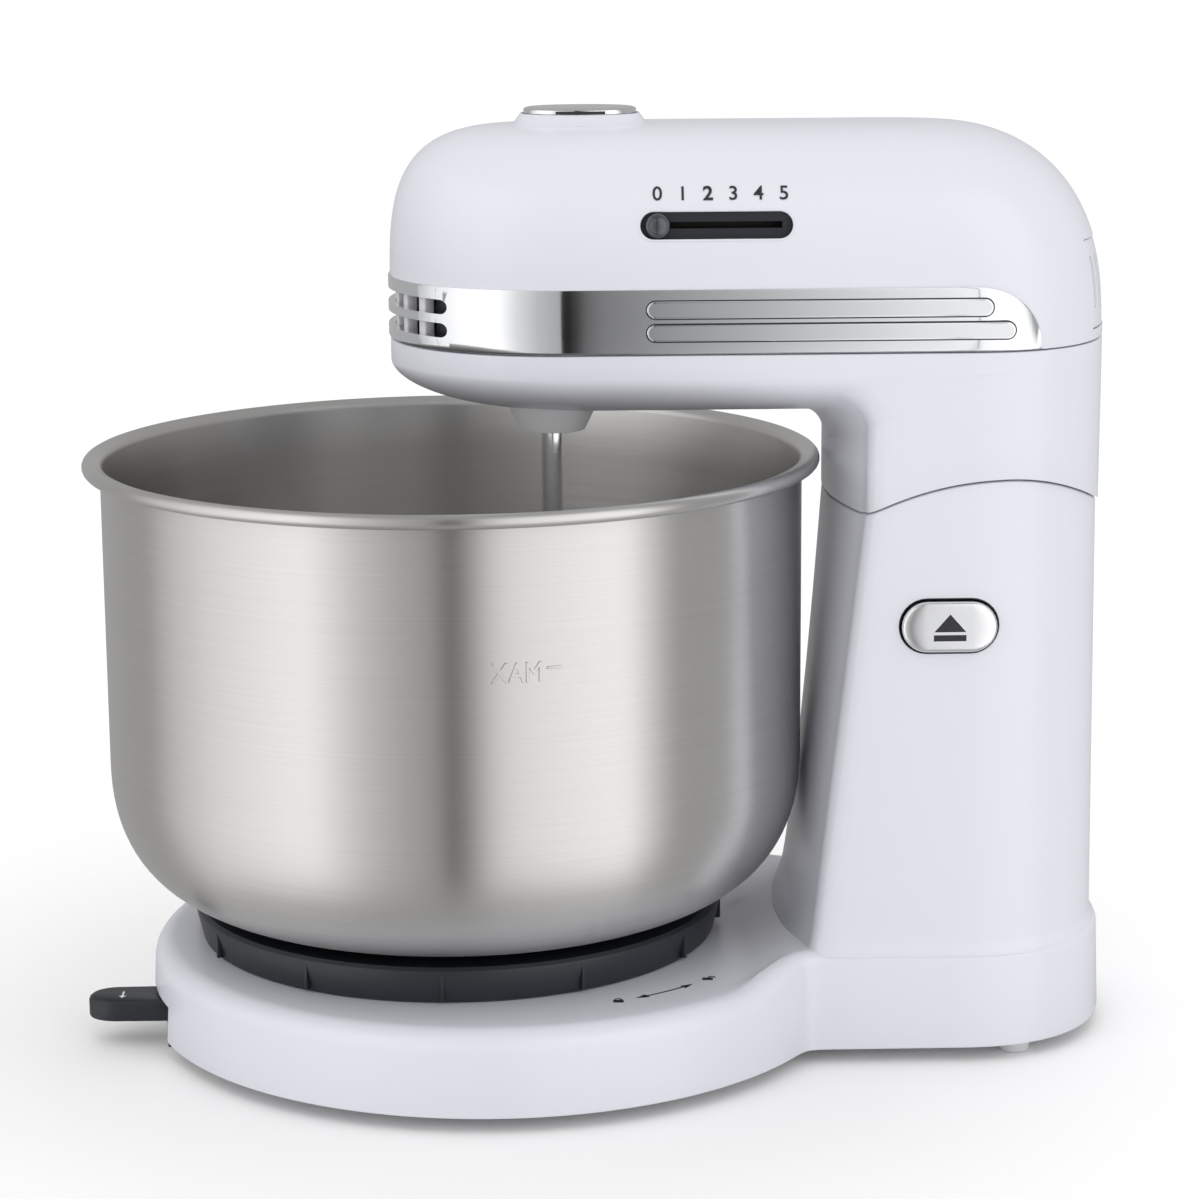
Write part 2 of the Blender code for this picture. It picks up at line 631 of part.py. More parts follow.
def make_band():
    """Chromed band with vents round the nose and raised ribs along the sides."""
    strip = band_strip(1.4, -0.5, BAND_Z[0], BAND_Z[1], BAND_END_X, BAND_CURVE_X)
    band = solid("chrome_band", strip, "chrome")
    vents = [helper(band_strip(4.0, -4.0, low, high, 0.0)) for low, high in VENT_ROWS]
    combine(band, vents)
    ribs = []
    for low, high, end in RIB_ROWS:
        for side in (-1, 1):
            y0, y1 = sorted((side * (HEAD_HALF - 1.0), side * (HEAD_HALF + 1.1)))
            width = end - RIB_START_X
            rib = slab(stadium((end + RIB_START_X) / 2, (low + high) / 2, width, high - low, 3), y0, y1)
            ribs.append(helper(rib))
    combine(band, ribs, "UNION")

    grille = solid("vent_grille", band_strip(5.0, 3.5, 213.0, 229.5, 5.0), "anthracite")
    windows = []
    for turn in range(-50, 51, 20):
        a = math.radians(turn)
        reach = Vector((-math.cos(a), math.sin(a), 0.0))
        side = Vector((math.sin(a), math.cos(a), 0.0)) * 3.6
        hub = Vector((35.0, 0.0, 0.0))
        corners = [hub + reach * 40 - side, hub + reach * 60 - side, hub + reach * 60 + side,
                   hub + reach * 40 + side]
        for low, high in VENT_ROWS:
            cut = loft([[(c.x, c.y, z) for c in corners] for z in (low, high)])
            windows.append(helper(cut))
    combine(grille, windows)

    panel = rear_panel(0.3, 2.6, (215.3, 222.0, 230.0, 236.0, 240.7), GAP)
    solid("rear_vent_cover", panel, "white_satin")


def rear_panel(outer, inner, heights, trim):
    """Curved panel let into the rear of the top cover, between two depths under its surface."""
    rings = []
    for z in heights:
        skin, back = cover_at(z, outer), cover_at(z, inner)
        wrap = [-3, -2, -1, 0, 1, 2, 3]
        line = [skin[i] for i in wrap] + [back[i] for i in reversed(wrap)]
        rings.append(at_height(inset(line, trim), z))
    return loft(rings)


def slab_x(outline, x0, x1):
    """An outline of (y, z) extruded along X."""
    return loft([[(x, y, z) for y, z in outline] for x in (x0, x1)])


def tub_at(z, depth=0.0):
    """Plan of the head's lower housing at a height, rounding under to the belly line."""
    drop = (BELLY_EDGE_Z - z) / (BELLY_EDGE_Z - BELLY_Z)
    front = NOSE_ROUND_X - (NOSE_ROUND_X - NOSE_X) * profile_share(drop, 1.85)
    share = profile_share(drop, 2.2)
    rear = NECK_REAR_X if z >= BELLY_EDGE_Z else 172.0
    return inset(head_outline(front, rear, HEAD_HALF * share, NOSE_LENGTH * (0.2 + 0.8 * share)), depth)


def throat_fillet(radius=11.0):
    """Concave corner between the belly and the bowed front of the neck."""
    rings = []
    for y in (-43.0, -32.0, -18.0, 0.0, 18.0, 32.0, 43.0):
        front = NECK_FRONT_X[0] + (NECK_FRONT_X[1] - NECK_FRONT_X[0]) * (y / (NECK_HALF - 5.0)) ** 2
        rise = (BELLY_EDGE_Z - BELLY_Z) * (1 - profile_share(abs(y) / HEAD_HALF, 2.2))
        under = BELLY_Z + rise + 0.4
        arc = [math.radians(90 - 22.5 * i) for i in range(5)]
        section = [(front - radius + 0.4 + radius * math.cos(a), under - radius + radius * math.sin(a))
                   for a in arc]
        section += [(front + 2.0, under - radius), (front + 2.0, under + 1.8), (section[0][0], under + 1.8)]
        rings.append([(x, y, z) for x, z in section])
    return loft(rings)


def make_lower_housing():
    """Underside of the head and the neck, one L-shaped moulding, hollow and open below."""
    heights = (HEAD_SPLIT_Z, BELLY_EDGE_Z, 201.0, 197.0, 193.5, 191.2)
    rings = []
    for z in heights:
        ring = tub_at(z)
        if z < BELLY_EDGE_Z:
            ring = [(min(x, 170.0), y) for x, y in ring]
        rings.append(at_height(ring, z))
    housing = solid("head_lower_housing", loft(rings, end_pole=(70.0, 0.0, BELLY_Z)), "white_gloss")

    def neck(depth, low, high):
        plan = inset(column_outline(NECK_FRONT_X[0], NECK_FRONT_X[1], NECK_REAR_X, NECK_HALF), depth)
        return loft([at_height(plan, low), at_height(plan, high)])

    post = helper(neck(0.0, 150.0, 208.0))
    combine(post, [helper(slab(arch(SEAM_GAP, floor=100.0), -70, 70))])
    combine(housing, [post], "UNION")
    combine(housing, [helper(throat_fillet())], "UNION")

    hollow_rings = []
    for z in (HEAD_SPLIT_Z + 5.0, BELLY_EDGE_Z + 0.5, 202.5, 198.5, 195.5, 194.0):
        ring = tub_at(max(z - WALL, BELLY_Z + 0.5) if z < BELLY_EDGE_Z else BELLY_EDGE_Z, WALL)
        if z < BELLY_EDGE_Z:
            ring = [(min(x, 165.0), y) for x, y in ring]
        hollow_rings.append(at_height(ring, z))
    hollow = helper(loft(hollow_rings))
    inside = helper(neck(WALL, 140.0, 207.0))
    combine(hollow, [inside], "UNION")
    tools = [hollow]
    for side in (-1, 1):
        y = side * SPINDLE_Y
        tools.append(helper(rod((SPINDLE_X, y, 180), (SPINDLE_X, y, 205), 13.2, 24)))
    combine(housing, tools)


def make_head_trim():
    """Speed slot tray, button pedestal and spindle bosses."""
    tray = solid("speed_plate", block((52.0, -44.6, 242.5), (101.0, -43.4, 252.4)), "anthracite")
    width, height = SLOT_X[1] - SLOT_X[0] - 2 * GAP, SLOT_Z[1] - SLOT_Z[0] - 2 * GAP
    fill = slab(stadium(sum(SLOT_X) / 2, sum(SLOT_Z) / 2, width, height), -48.2, -44.3)
    combine(tray, [helper(fill)], "UNION")
    combine(tray, [helper(block((58.0, -50.0, 246.9), (95.0, -40.0, 249.2)))])

    ring = [oval(BUTTON_X, 268.6, 37.4, 29.0), oval(BUTTON_X, 273.9, 37.4, 29.0),
            oval(BUTTON_X, 275.2, 35.4, 27.0)]
    pedestal = solid("button_pedestal", loft(ring), "white_gloss")
    hole = loft([oval(BUTTON_X, z, 33.4, 24.8) for z in (260.0, 290.0)])
    combine(pedestal, [helper(hole)])

    for side, label in ((-1, "right"), (1, "left")):
        y = side * SPINDLE_Y
        profile = ((9.6, 186.0), (12.4, 192.0), (12.9, 194.0), (12.9, 197.0), (5.6, 197.0), (5.6, 186.0))
        solid("spindle_boss_" + label, turned(profile, SPINDLE_X, y, 20), "white_satin")


# ---- drive ----------------------------------------------------------------------------------
def make_worm():
    """Single-start worm cut on the end of the motor shaft."""
    pitch = math.pi * GEAR_MODULE
    steps, turns = 8, 8
    crest, root = WORM_PITCH_R + 0.6, WORM_PITCH_R - 1.4
    start = SPINDLE_X - pitch * turns / 2
    shaft = solid("motor_shaft", rod((6.0, 0, WORM_Z), (155.0, 0, WORM_Z), 2.5, 16), "steel",
                  (85.0, 0, WORM_Z))
    core = rod((start - 2.5, 0, WORM_Z), (start + pitch * turns + 2.5, 0, WORM_Z), root, 16)
    combine(shaft, [helper(core)], "UNION")
    rings = []
    for i in range(turns * steps + 1):
        a = 2 * math.pi * i / steps
        x = start + pitch * i / steps
        ends = min(i, turns * steps - i) / steps
        height = root + (crest - root) * min(1.0, 0.25 + ends * 2)
        ring = []
        for r, w in ((root - 0.5, -0.85), (height, -0.35), (height, 0.35), (root - 0.5, 0.85)):
            ring.append((x + w, r * math.cos(a), WORM_Z + r * math.sin(a)))
        rings.append(ring)
    combine(shaft, [helper(loft(rings))], "UNION")


def make_wheel(label, side):
    """Worm wheel with a hub, keyed to its spindle."""
    pitch_r = WHEEL_TEETH * GEAR_MODULE / 2
    tip, root = pitch_r + 0.7, pitch_r - 1.3
    y = side * SPINDLE_Y
    outline = []
    tooth = 2 * math.pi / WHEEL_TEETH
    phase = math.pi / 2 if side < 0 else -math.pi / 2 + tooth / 2
    for i in range(WHEEL_TEETH):
        middle = phase + i * tooth
        for r, share in ((root, -0.26), (tip, -0.10), (tip, 0.10), (root, 0.26)):
            a = middle + share * tooth
            outline.append((SPINDLE_X + r * math.cos(a), y + r * math.sin(a)))
    rings = [at_height(outline, z) for z in (WORM_Z - 3.5, WORM_Z + 3.5)]
    wheel = solid("worm_wheel_" + label, loft(rings), "nylon", (SPINDLE_X, y, WORM_Z))
    bore = helper(rod((SPINDLE_X, y, 220), (SPINDLE_X, y, 235), 5.0 + GAP, 20))
    combine(wheel, [bore])


def make_spindle(label, side):
    """Hollow spindle that holds a beater's stem."""
    y = side * SPINDLE_Y
    profile = ((5.0, 187.0), (5.0, 241.0), (3.3, 241.0), (3.3, 187.0))
    solid("spindle_" + label, turned(profile, SPINDLE_X, y, 20), "steel", (SPINDLE_X, y, WORM_Z))


def make_beater(label, side):
    """Wire beater: a stem with two crossed loops."""
    y = side * SPINDLE_Y
    x = SPINDLE_X
    pivot = (x, y, BEATER_BOTTOM_Z)
    stem = rod((x, y, BEATER_BOTTOM_Z + 3.0), (x, y, 226.0), 3.0, 16)
    beater = solid("beater_" + label, stem, "chrome", pivot)
    top_z = 140.0
    twist = math.radians(45)
    for turn in (0.0, math.pi / 2):
        a = turn + twist
        along = Vector((math.cos(a), math.sin(a), 0.0))
        across = Vector((-math.sin(a), math.cos(a), 0.0)) * 2.0
        centre = Vector((x, y, 0.0))
        rings = []
        for r, trim in ((BEATER_R, 0.0), (BEATER_R - 1.6, 1.6)):
            path = []
            for i in range(16):
                b = 2 * math.pi * i / 16
                c, s = math.cos(b), math.sin(b)
                middle = (top_z + BEATER_BOTTOM_Z) / 2
                h = (top_z - BEATER_BOTTOM_Z) / 2 - trim
                u = r * math.copysign(abs(c) ** 0.5, c)
                path.append((u, middle + h * math.copysign(abs(s) ** 0.8, s)))
            rings.append(path)
        loop = []
        for path, side_shift in ((rings[0], -1), (rings[0], 1), (rings[1], 1), (rings[1], -1)):
            loop.append([tuple(centre + along * u + across * side_shift + Vector((0, 0, z)))
                         for u, z in path])
        bm = bmesh.new()
        rows = [[bm.verts.new(p) for p in ring] for ring in loop]
        for low, high in zip(rows, rows[1:] + rows[:1]):
            for i in range(16):
                j = (i + 1) % 16
                bm.faces.new((low[i], low[j], high[j], high[i]))
        combine(beater, [helper(bm)], "UNION")
    hub = rod((x, y, BEATER_BOTTOM_Z + 1.0), (x, y, BEATER_BOTTOM_Z + 8.0), 4.0, 16)
    combine(beater, [helper(hub)], "UNION")


def make_motor():
    """Universal motor: laminated stator, rotor on the worm shaft, brushes, fan and brackets."""
    half, bore = 26.0, 18.0
    outline = [(-half, -20), (-20, -half), (20, -half), (half, -20),
               (half, 20), (20, half), (-20, half), (-half, 20)]
    outline = [(y, WORM_Z + z) for y, z in outline]
    stator = solid("motor_stator", slab_x(outline, 86.0, 122.0), "steel")
    combine(stator, [helper(rod((80, 0, WORM_Z), (130, 0, WORM_Z), bore, 28))])
    axis = (85.0, 0.0, WORM_Z)
    for name, x0, x1, outer, colour in (("motor_rotor", 86.0, 122.0, 17.2, "steel"),
                                        ("commutator", 127.0, 138.0, 9.0, "copper")):
        ring = tube((x0, 0, WORM_Z), (x1, 0, WORM_Z), outer, 2.5 + GAP, 24)
        solid(name, ring, colour, axis)
    fan = solid("cooling_fan", tube((70, 0, WORM_Z), (79, 0, WORM_Z), 6.0, 2.5 + GAP, 24), "nylon", axis)
    blades = []
    for i in range(6):
        a = math.pi / 3 * i
        radial = Vector((0, math.cos(a), math.sin(a)))
        side = Vector((0, -math.sin(a), math.cos(a)))
        rings = []
        for x, shift in ((70.5, -2.0), (78.5, 2.0)):
            mid = Vector((x, 0, WORM_Z)) + side * shift
            rings.append([mid + radial * 5 - side * 0.6, mid + radial * 23 - side * 0.6,
                          mid + radial * 23 + side * 0.6, mid + radial * 5 + side * 0.6])
        blades.append(helper(loft(rings)))
    combine(fan, blades, "UNION")
    for side, label in ((-1, "right"), (1, "left")):
        y0, y1 = sorted((side * 9.4, side * 21.0))
        solid("carbon_brush_" + label, block((129.0, y0, 224.0), (136.0, y1, 230.0)), "carbon")
    for name, x0 in (("motor_bracket_front", 60.0), ("motor_bracket_rear", 146.0)):
        low = 198.0 if x0 < 100 else 206.4
        plate = solid(name, block((x0, -24.0, low), (x0 + 4.0, 24.0, 240.0)), "steel")
        combine(plate, [helper(rod((x0 - 3, 0, WORM_Z), (x0 + 7, 0, WORM_Z), 2.5 + GAP, 20))])
    solid("switch_board", block((56.0, -39.6, 232.0), (112.0, -38.0, 256.0)), "board")


def make_gearbox():
    """Tray under the wheels and the cover above them, joined by four posts."""
    tray = solid("gearbox_tray", block((8.0, -37.0, 212.0), (52.0, 37.0, 216.0)), "nylon")
    posts = []
    for x in (10.0, 50.0):
        for y in (-36.0, 36.0):
            posts.append(helper(block((x - 2.0, y - 1.0, 204.0), (x + 2.0, y + 1.0, 236.0))))
    combine(tray, posts, "UNION")
    cover = solid("gearbox_cover", block((8.0, -37.0, 236.4), (52.0, 37.0, 239.4)), "nylon")
    for piece in (tray, cover):
        bores = []
        for side in (-1, 1):
            y = side * SPINDLE_Y
            bores.append(helper(rod((SPINDLE_X, y, 205), (SPINDLE_X, y, 245), 5.0 + GAP, 20)))
        combine(piece, bores)


def make_eject():
    """Beater eject button, the plate under it that pushes both stems, and its spring."""
    origin = (BUTTON_X, 0.0, BUTTON_TOP_Z)
    cap = [oval(BUTTON_X, 270.2, 32.6, 24.0), oval(BUTTON_X, 276.6, 32.6, 24.0),
           oval(BUTTON_X, 277.9, 31.2, 22.6), oval(BUTTON_X, BUTTON_TOP_Z, 28.0, 19.6)]
    button = solid("eject_button", loft(cap), "chrome", origin)
    stem = rod((BUTTON_X, 0, 251.3), (BUTTON_X, 0, 270.5), 4.0)
    combine(button, [helper(stem)], "UNION")
    plate = block((24.0, -26.0, 247.8), (45.0, 26.0, 251.0))
    solid("ejector_plate", plate, "nylon", origin)
    shelf = tube((BUTTON_X, 0, 252.6), (BUTTON_X, 0, 254.2), 12.0, 5.0)
    solid("spring_shelf", shelf, "steel")
    solid("eject_spring", coil((BUTTON_X, 0.0), (255.2, 269.2), 4, 8, 6.4, 0.6, "Z"), "steel")


def make_speed_knob():
    """Round speed knob with a stem through the slot to its slider."""
    z = sum(SLOT_Z) / 2
    rings = [[(x, y, w) for x, w in ring_xz(KNOB_X, z, r)] for y, r in
             ((-51.4, KNOB_R - 0.7), (-50.8, KNOB_R), (-48.5, KNOB_R))]
    knob = solid("speed_knob", loft(rings), "anthracite", (KNOB_X, -47.0, z))
    stem = helper(block((KNOB_X - 1.0, -48.9, z - 0.8), (KNOB_X + 1.0, -42.6, z + 0.8)))
    slider = helper(block((KNOB_X - 3.5, -43.0, z - 3.0), (KNOB_X + 3.5, -40.3, z + 3.0)))
    combine(knob, [stem, slider], "UNION")


def ring_xz(cx, cz, radius, count=20):
    """Points (x, z) of an upright circle."""
    turns = (2 * math.pi * i / count for i in range(count))
    return [(cx + radius * math.cos(a), cz + radius * math.sin(a)) for a in turns]


# ---- bowl and its carrier -------------------------------------------------------------------
def bowl_wall(depth):
    """Bowl profile at a depth under its outer face, from the rim down to the floor."""
    across, down = BOWL_R - BOWL_FLOOR_R, BOWL_CURVE_Z - BOWL_FLOOR_Z
    line = [(BOWL_R - depth, RIM_Z - 2.4)]
    for u, v in quarter(across - depth, down - depth, 2.4, 6):
        line.append((BOWL_FLOOR_R + u, BOWL_CURVE_Z - v))
    return line


def make_bowl():
    """Drawn steel bowl with a rolled rim, and the dark foot ring under it."""
    outer, inner = bowl_wall(0.0), bowl_wall(BOWL_WALL)
    bead = []
    for turn in (-60, -5, 50, 105, 150):
        a = math.radians(turn)
        bead.append((RIM_R - BEAD_R + BEAD_R * math.cos(a), RIM_Z + BEAD_R * math.sin(a)))
    profile = [(inner[0][0], RIM_Z + 0.9)] + bead[::-1] + outer
    profile += [(30.0, BOWL_FLOOR_Z)]
    inside = [(30.0, BOWL_FLOOR_Z + BOWL_WALL)] + inner[::-1]
    rings = [circle(0, 0, z, r, BOWL_SIDES) for r, z in profile]
    rings_in = [circle(0, 0, z, r, BOWL_SIDES) for r, z in inside]
    bm = bmesh.new()
    rows = [[bm.verts.new(p) for p in ring] for ring in rings + rings_in]
    middle = len(rings)
    pairs = list(zip(rows[:middle], rows[1:middle])) + list(zip(rows[middle:], rows[middle + 1:]))
    for low, high in pairs + [(rows[-1], rows[0])]:
        for i in range(BOWL_SIDES):
            j = (i + 1) % BOWL_SIDES
            bm.faces.new((low[i], low[j], high[j], high[i]))
    for row, z in ((rows[middle - 1], BOWL_FLOOR_Z), (rows[middle], BOWL_FLOOR_Z + BOWL_WALL)):
        tip = bm.verts.new((0, 0, z))
        for i in range(BOWL_SIDES):
            bm.faces.new((row[i], row[(i + 1) % BOWL_SIDES], tip))
    solid("mixing_bowl", bm, "stainless", (0, 0, RIM_Z))

    low, high = RING_Z
    foot = ((RING_R[0], low), (RING_R[1], high - 1.2), (RING_R[1] - 1.0, high), (62.0, high),
            (62.0, high - 1.4), (75.0, high - 1.4), (74.6, low))
    solid("bowl_foot_ring", turned(foot, 0, 0, BOWL_SIDES), "anthracite", (0, 0, low))


def make_carrier():
    """Shift arm with its lever outside the base, and the seat that the bowl turns on."""
    low, high = 7.6, 12.6
    lever_y = -21.0
    tip = []
    for i in range(9):
        a = math.radians(90 + 180 * i / 8)
        tip.append((LEVER_TIP_X + 7.0 + 7.0 * math.cos(a), lever_y + 7.2 * math.sin(a)))
    bar = tip + [(-60.0, -26.0), (SHIFT_PIVOT_X, -9.0), (SHIFT_PIVOT_X + 9.0, 0.0),
                 (SHIFT_PIVOT_X, 9.0), (-60.0, -13.0)]
    arm_bm = loft([at_height(bar, low), at_height(bar, high)])
    arm = solid("bowl_shift_lever", arm_bm, "anthracite", (SHIFT_PIVOT_X, 0, low))
    hub = rod((0, 0, low), (0, 0, high), 24.0, 28)
    handle = [at_height([(x, y) for x, y in tip] + [(-92.5, -28.2), (-92.5, -13.8)], z) for z in (low, 14.4)]
    combine(arm, [helper(hub), helper(loft(handle))], "UNION")
    bore = rod((SHIFT_PIVOT_X, 0, 5), (SHIFT_PIVOT_X, 0, 16), 4.0 + GAP, 20)
    combine(arm, [helper(bore)])

    profile = [circle(0, 0, z, r, 28) for r, z in ((18.0, 12.9), (18.0, 32.0), (58.0, 32.0), (58.0, 38.4))]
    solid("bowl_seat", loft(profile), "anthracite", (SHIFT_PIVOT_X, 0, low))


def main():
    """Build the mixer."""
    clear_scene()
    make_base()
    make_column()
    make_hinge()
    make_release()
    make_top_cover()
    make_band()
    make_lower_housing()
    make_head_trim()
    make_worm()
    for label, side in (("right", -1), ("left", 1)):
        make_wheel(label, side)
        make_spindle(label, side)
        make_beater(label, side)
    make_motor()
    make_gearbox()
    make_eject()
    make_speed_knob()
    make_bowl()
    make_carrier()


main()
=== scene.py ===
"""Studio looks of a tilt-head stand mixer, modelled round its packed working frame.

Lengths are millimetres from the bowl's axis at the height of the table: +X runs to the column at
the rear, -Y to the side with the speed slot, +Z up. point() turns them into metres in the frame.
"""

import json
import logging
import math
from collections.abc import Callable, Iterable, Sequence
from dataclasses import dataclass
from enum import Enum

import bmesh
import bpy
import numpy as np
from mathutils import Matrix, Vector


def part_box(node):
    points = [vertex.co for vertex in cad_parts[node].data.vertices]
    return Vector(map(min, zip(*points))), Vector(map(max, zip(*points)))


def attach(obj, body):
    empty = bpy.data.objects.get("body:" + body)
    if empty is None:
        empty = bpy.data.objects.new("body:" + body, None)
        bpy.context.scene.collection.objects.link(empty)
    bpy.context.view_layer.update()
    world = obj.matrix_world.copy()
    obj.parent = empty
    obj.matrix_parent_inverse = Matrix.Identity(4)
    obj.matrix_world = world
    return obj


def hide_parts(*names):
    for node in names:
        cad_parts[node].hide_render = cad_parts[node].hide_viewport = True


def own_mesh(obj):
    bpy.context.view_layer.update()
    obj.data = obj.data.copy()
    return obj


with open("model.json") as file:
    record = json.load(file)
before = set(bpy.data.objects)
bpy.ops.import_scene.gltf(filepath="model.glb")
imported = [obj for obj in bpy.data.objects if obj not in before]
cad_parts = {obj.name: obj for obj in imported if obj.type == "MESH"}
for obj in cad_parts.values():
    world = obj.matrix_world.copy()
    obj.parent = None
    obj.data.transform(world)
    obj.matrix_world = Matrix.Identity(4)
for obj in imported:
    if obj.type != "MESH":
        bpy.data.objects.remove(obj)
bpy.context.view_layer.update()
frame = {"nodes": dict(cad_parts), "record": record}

Piece = bpy.types.Object
Socket = bpy.types.NodeSocket
Triple = tuple[float, float, float]
Outline = list[tuple[float, float]]
Ring = list[Triple]

LOG = logging.getLogger("mixer")
MM = 0.001
MERGE = 2e-6
SMOOTH_ANGLE = 32.0
COAT_ROUGHNESS = 0.06
STREAK_TURN = 0.25
BROAD_GRAIN = 9.0


# ---- places ---------------------------------------------------------------------------------
def bowl_axis_x() -> float:
    """Where the bowl's axis stands along X in the frame, in metres."""
    low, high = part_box("mixing_bowl")
    return (low.x + high.x) / 2


AXIS_X = bowl_axis_x()


def point(x: float, y: float, z: float) -> Vector:
    """Turn a place in millimetres from the bowl's axis into metres in the frame."""
    return Vector((AXIS_X + x * MM, y * MM, z * MM))


def span(node: str) -> tuple[Vector, Vector]:
    """Lowest and highest corner of a working part, in millimetres from the bowl's axis.

    Args:
        node: name of the working part.

    Returns:
        Its two corners.
    """
    low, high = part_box(node)
    shift = Vector((AXIS_X, 0.0, 0.0))
    return (low - shift) / MM, (high - shift) / MM


def middle_of(node: str) -> Triple:
    """Middle of a working part, in millimetres from the bowl's axis.

    Args:
        node: name of the working part.

    Returns:
        Its x, y and z.
    """
    low, high = span(node)
    return (low.x + high.x) / 2, (low.y + high.y) / 2, (low.z + high.z) / 2


# ---- finishes -------------------------------------------------------------------------------
def feed(tree: bpy.types.NodeTree, node: bpy.types.Node, inputs: dict) -> None:
    """Fill a node's inputs.

    Args:
        tree: the node's tree.
        node: the node.
        inputs: for each input a value to set on it, or an output to link to it.
    """
    for key, value in inputs.items():
        if isinstance(value, Socket):
            tree.links.new(value, node.inputs[key])
        else:
            node.inputs[key].default_value = value


def add_node(tree: bpy.types.NodeTree, kind: str, inputs: dict, **options: str) -> bpy.types.Node:
    """Add a shader node.

    Args:
        tree: node tree to add to.
        kind: node type, without the ShaderNode before it.
        inputs: what feed() takes.
        options: the node's own settings.

    Returns:
        The node.
    """
    node = tree.nodes.new("ShaderNode" + kind)
    for option, value in options.items():
        setattr(node, option, value)
    feed(tree, node, inputs)
    return node


class Kind(Enum):
    """How a surface takes its fine structure."""

    MOULDED = "moulded"
    BRUSHED = "brushed"
    PLATED = "plated"
    PRINTED = "printed"


@dataclass(frozen=True)
class Finish:
    """One procedural surface finish.

    Attributes:
        name: material name.
        kind: which fine structure the surface has.
        dark: darker of the two tones that the surface wanders between.
        light: lighter of the two tones.
        rough: lowest and highest roughness.
        metallic: 0 for plastic, 1 for metal.
        coat: strength of the clear skin on top.
        grain: how many grains the surface has per metre.
        bump: height of the grain in metres; 0 leaves the surface smooth.
        anisotropic: how strongly a brushed surface draws its highlights out.
    """

    name: str
    kind: Kind
    dark: Triple
    light: Triple
    rough: tuple[float, float]
    metallic: float = 0.0
    coat: float = 0.0
    grain: float = 2500.0
    bump: float = 0.00002
    anisotropic: float = 0.0

    def material(self) -> bpy.types.Material:
        """Return the finish's node material, made on first use."""
        found = bpy.data.materials.get(self.name)
        return found or self.build()

    def build(self) -> bpy.types.Material:
        """Wire up the node material."""
        made = bpy.data.materials.new(self.name)
        made.use_nodes = True
        tree = made.node_tree
        shader = tree.nodes["Principled BSDF"]
        place = add_node(tree, "TexCoord", {}).outputs["Object"]
        brushed = self.kind is Kind.BRUSHED
        fine = self.brushing(tree, place) if brushed else self.noise(tree, place, self.grain, 2.0)
        wander = fine if brushed else self.noise(tree, place, BROAD_GRAIN, 3.0)
        tone = add_node(tree, "Mix", {0: wander, 6: (*self.dark, 1.0), 7: (*self.light, 1.0)},
                        data_type="RGBA")
        spread = add_node(tree, "MapRange", {"Value": fine, "From Min": 0.1, "From Max": 0.9,
                                             "To Min": self.rough[0], "To Max": self.rough[1]})
        feed(tree, shader, {
            "Base Color": tone.outputs[2],
            "Roughness": spread.outputs["Result"],
            "Metallic": self.metallic,
            "Coat Weight": self.coat,
            "Coat Roughness": COAT_ROUGHNESS,
            "Anisotropic": self.anisotropic,
            "Anisotropic Rotation": STREAK_TURN,
        })
        if self.bump:
            relief = add_node(tree, "Bump", {"Strength": 0.6, "Distance": self.bump, "Height": fine})
            feed(tree, shader, {"Normal": relief.outputs["Normal"]})
        return made

    def brushing(self, tree: bpy.types.NodeTree, place: Socket) -> Socket:
        """Add fine streaks that run round the bowl's axis.

        Args:
            tree: node tree to add to.
            place: the object's own coordinates.

        Returns:
            The pattern, from 0 to 1.
        """
        def vector(operation: str, first: Socket, second: Socket | Triple = (0.0, 0.0, 0.0)) -> Socket:
            """Add one vector step."""
            return add_node(tree, "VectorMath", {0: first, 1: second}, operation=operation).outputs["Vector"]

        def number(operation: str, first: Socket, second: Socket | float) -> Socket:
            """Add one step with plain numbers."""
            return add_node(tree, "Math", {0: first, 1: second}, operation=operation).outputs["Value"]

        centred = vector("SUBTRACT", place, (AXIS_X, 0.0, 0.0))
        flat = vector("MULTIPLY", centred, (1.0, 1.0, 0.0))
        drawn = vector("MULTIPLY", vector("NORMALIZE", flat), (1.1, 1.1, 0.0))
        reach = add_node(tree, "VectorMath", {0: flat}, operation="LENGTH").outputs["Value"]
        height = add_node(tree, "SeparateXYZ", {"Vector": centred}).outputs["Z"]
        fine = number("MULTIPLY", number("ADD", height, reach), self.grain)
        lift = add_node(tree, "CombineXYZ", {"Z": fine}).outputs["Vector"]
        spot = vector("ADD", drawn, lift)
        return add_node(tree, "TexNoise", {"Vector": spot, "Scale": 1.0, "Detail": 3.0}).outputs["Fac"]

    @staticmethod
    def noise(tree: bpy.types.NodeTree, place: Socket, scale: float, detail: float) -> Socket:
        """Add a noise pattern.

        Args:
            tree: node tree to add to.
            place: the object's own coordinates.
            scale: pattern repeats per metre.
            detail: number of finer layers.

        Returns:
            The pattern, from 0 to 1.
        """
        spot = add_node(tree, "Mapping", {"Vector": place, "Scale": (scale,) * 3}).outputs["Vector"]
        return add_node(tree, "TexNoise", {"Vector": spot, "Scale": 1.0, "Detail": detail}).outputs["Fac"]


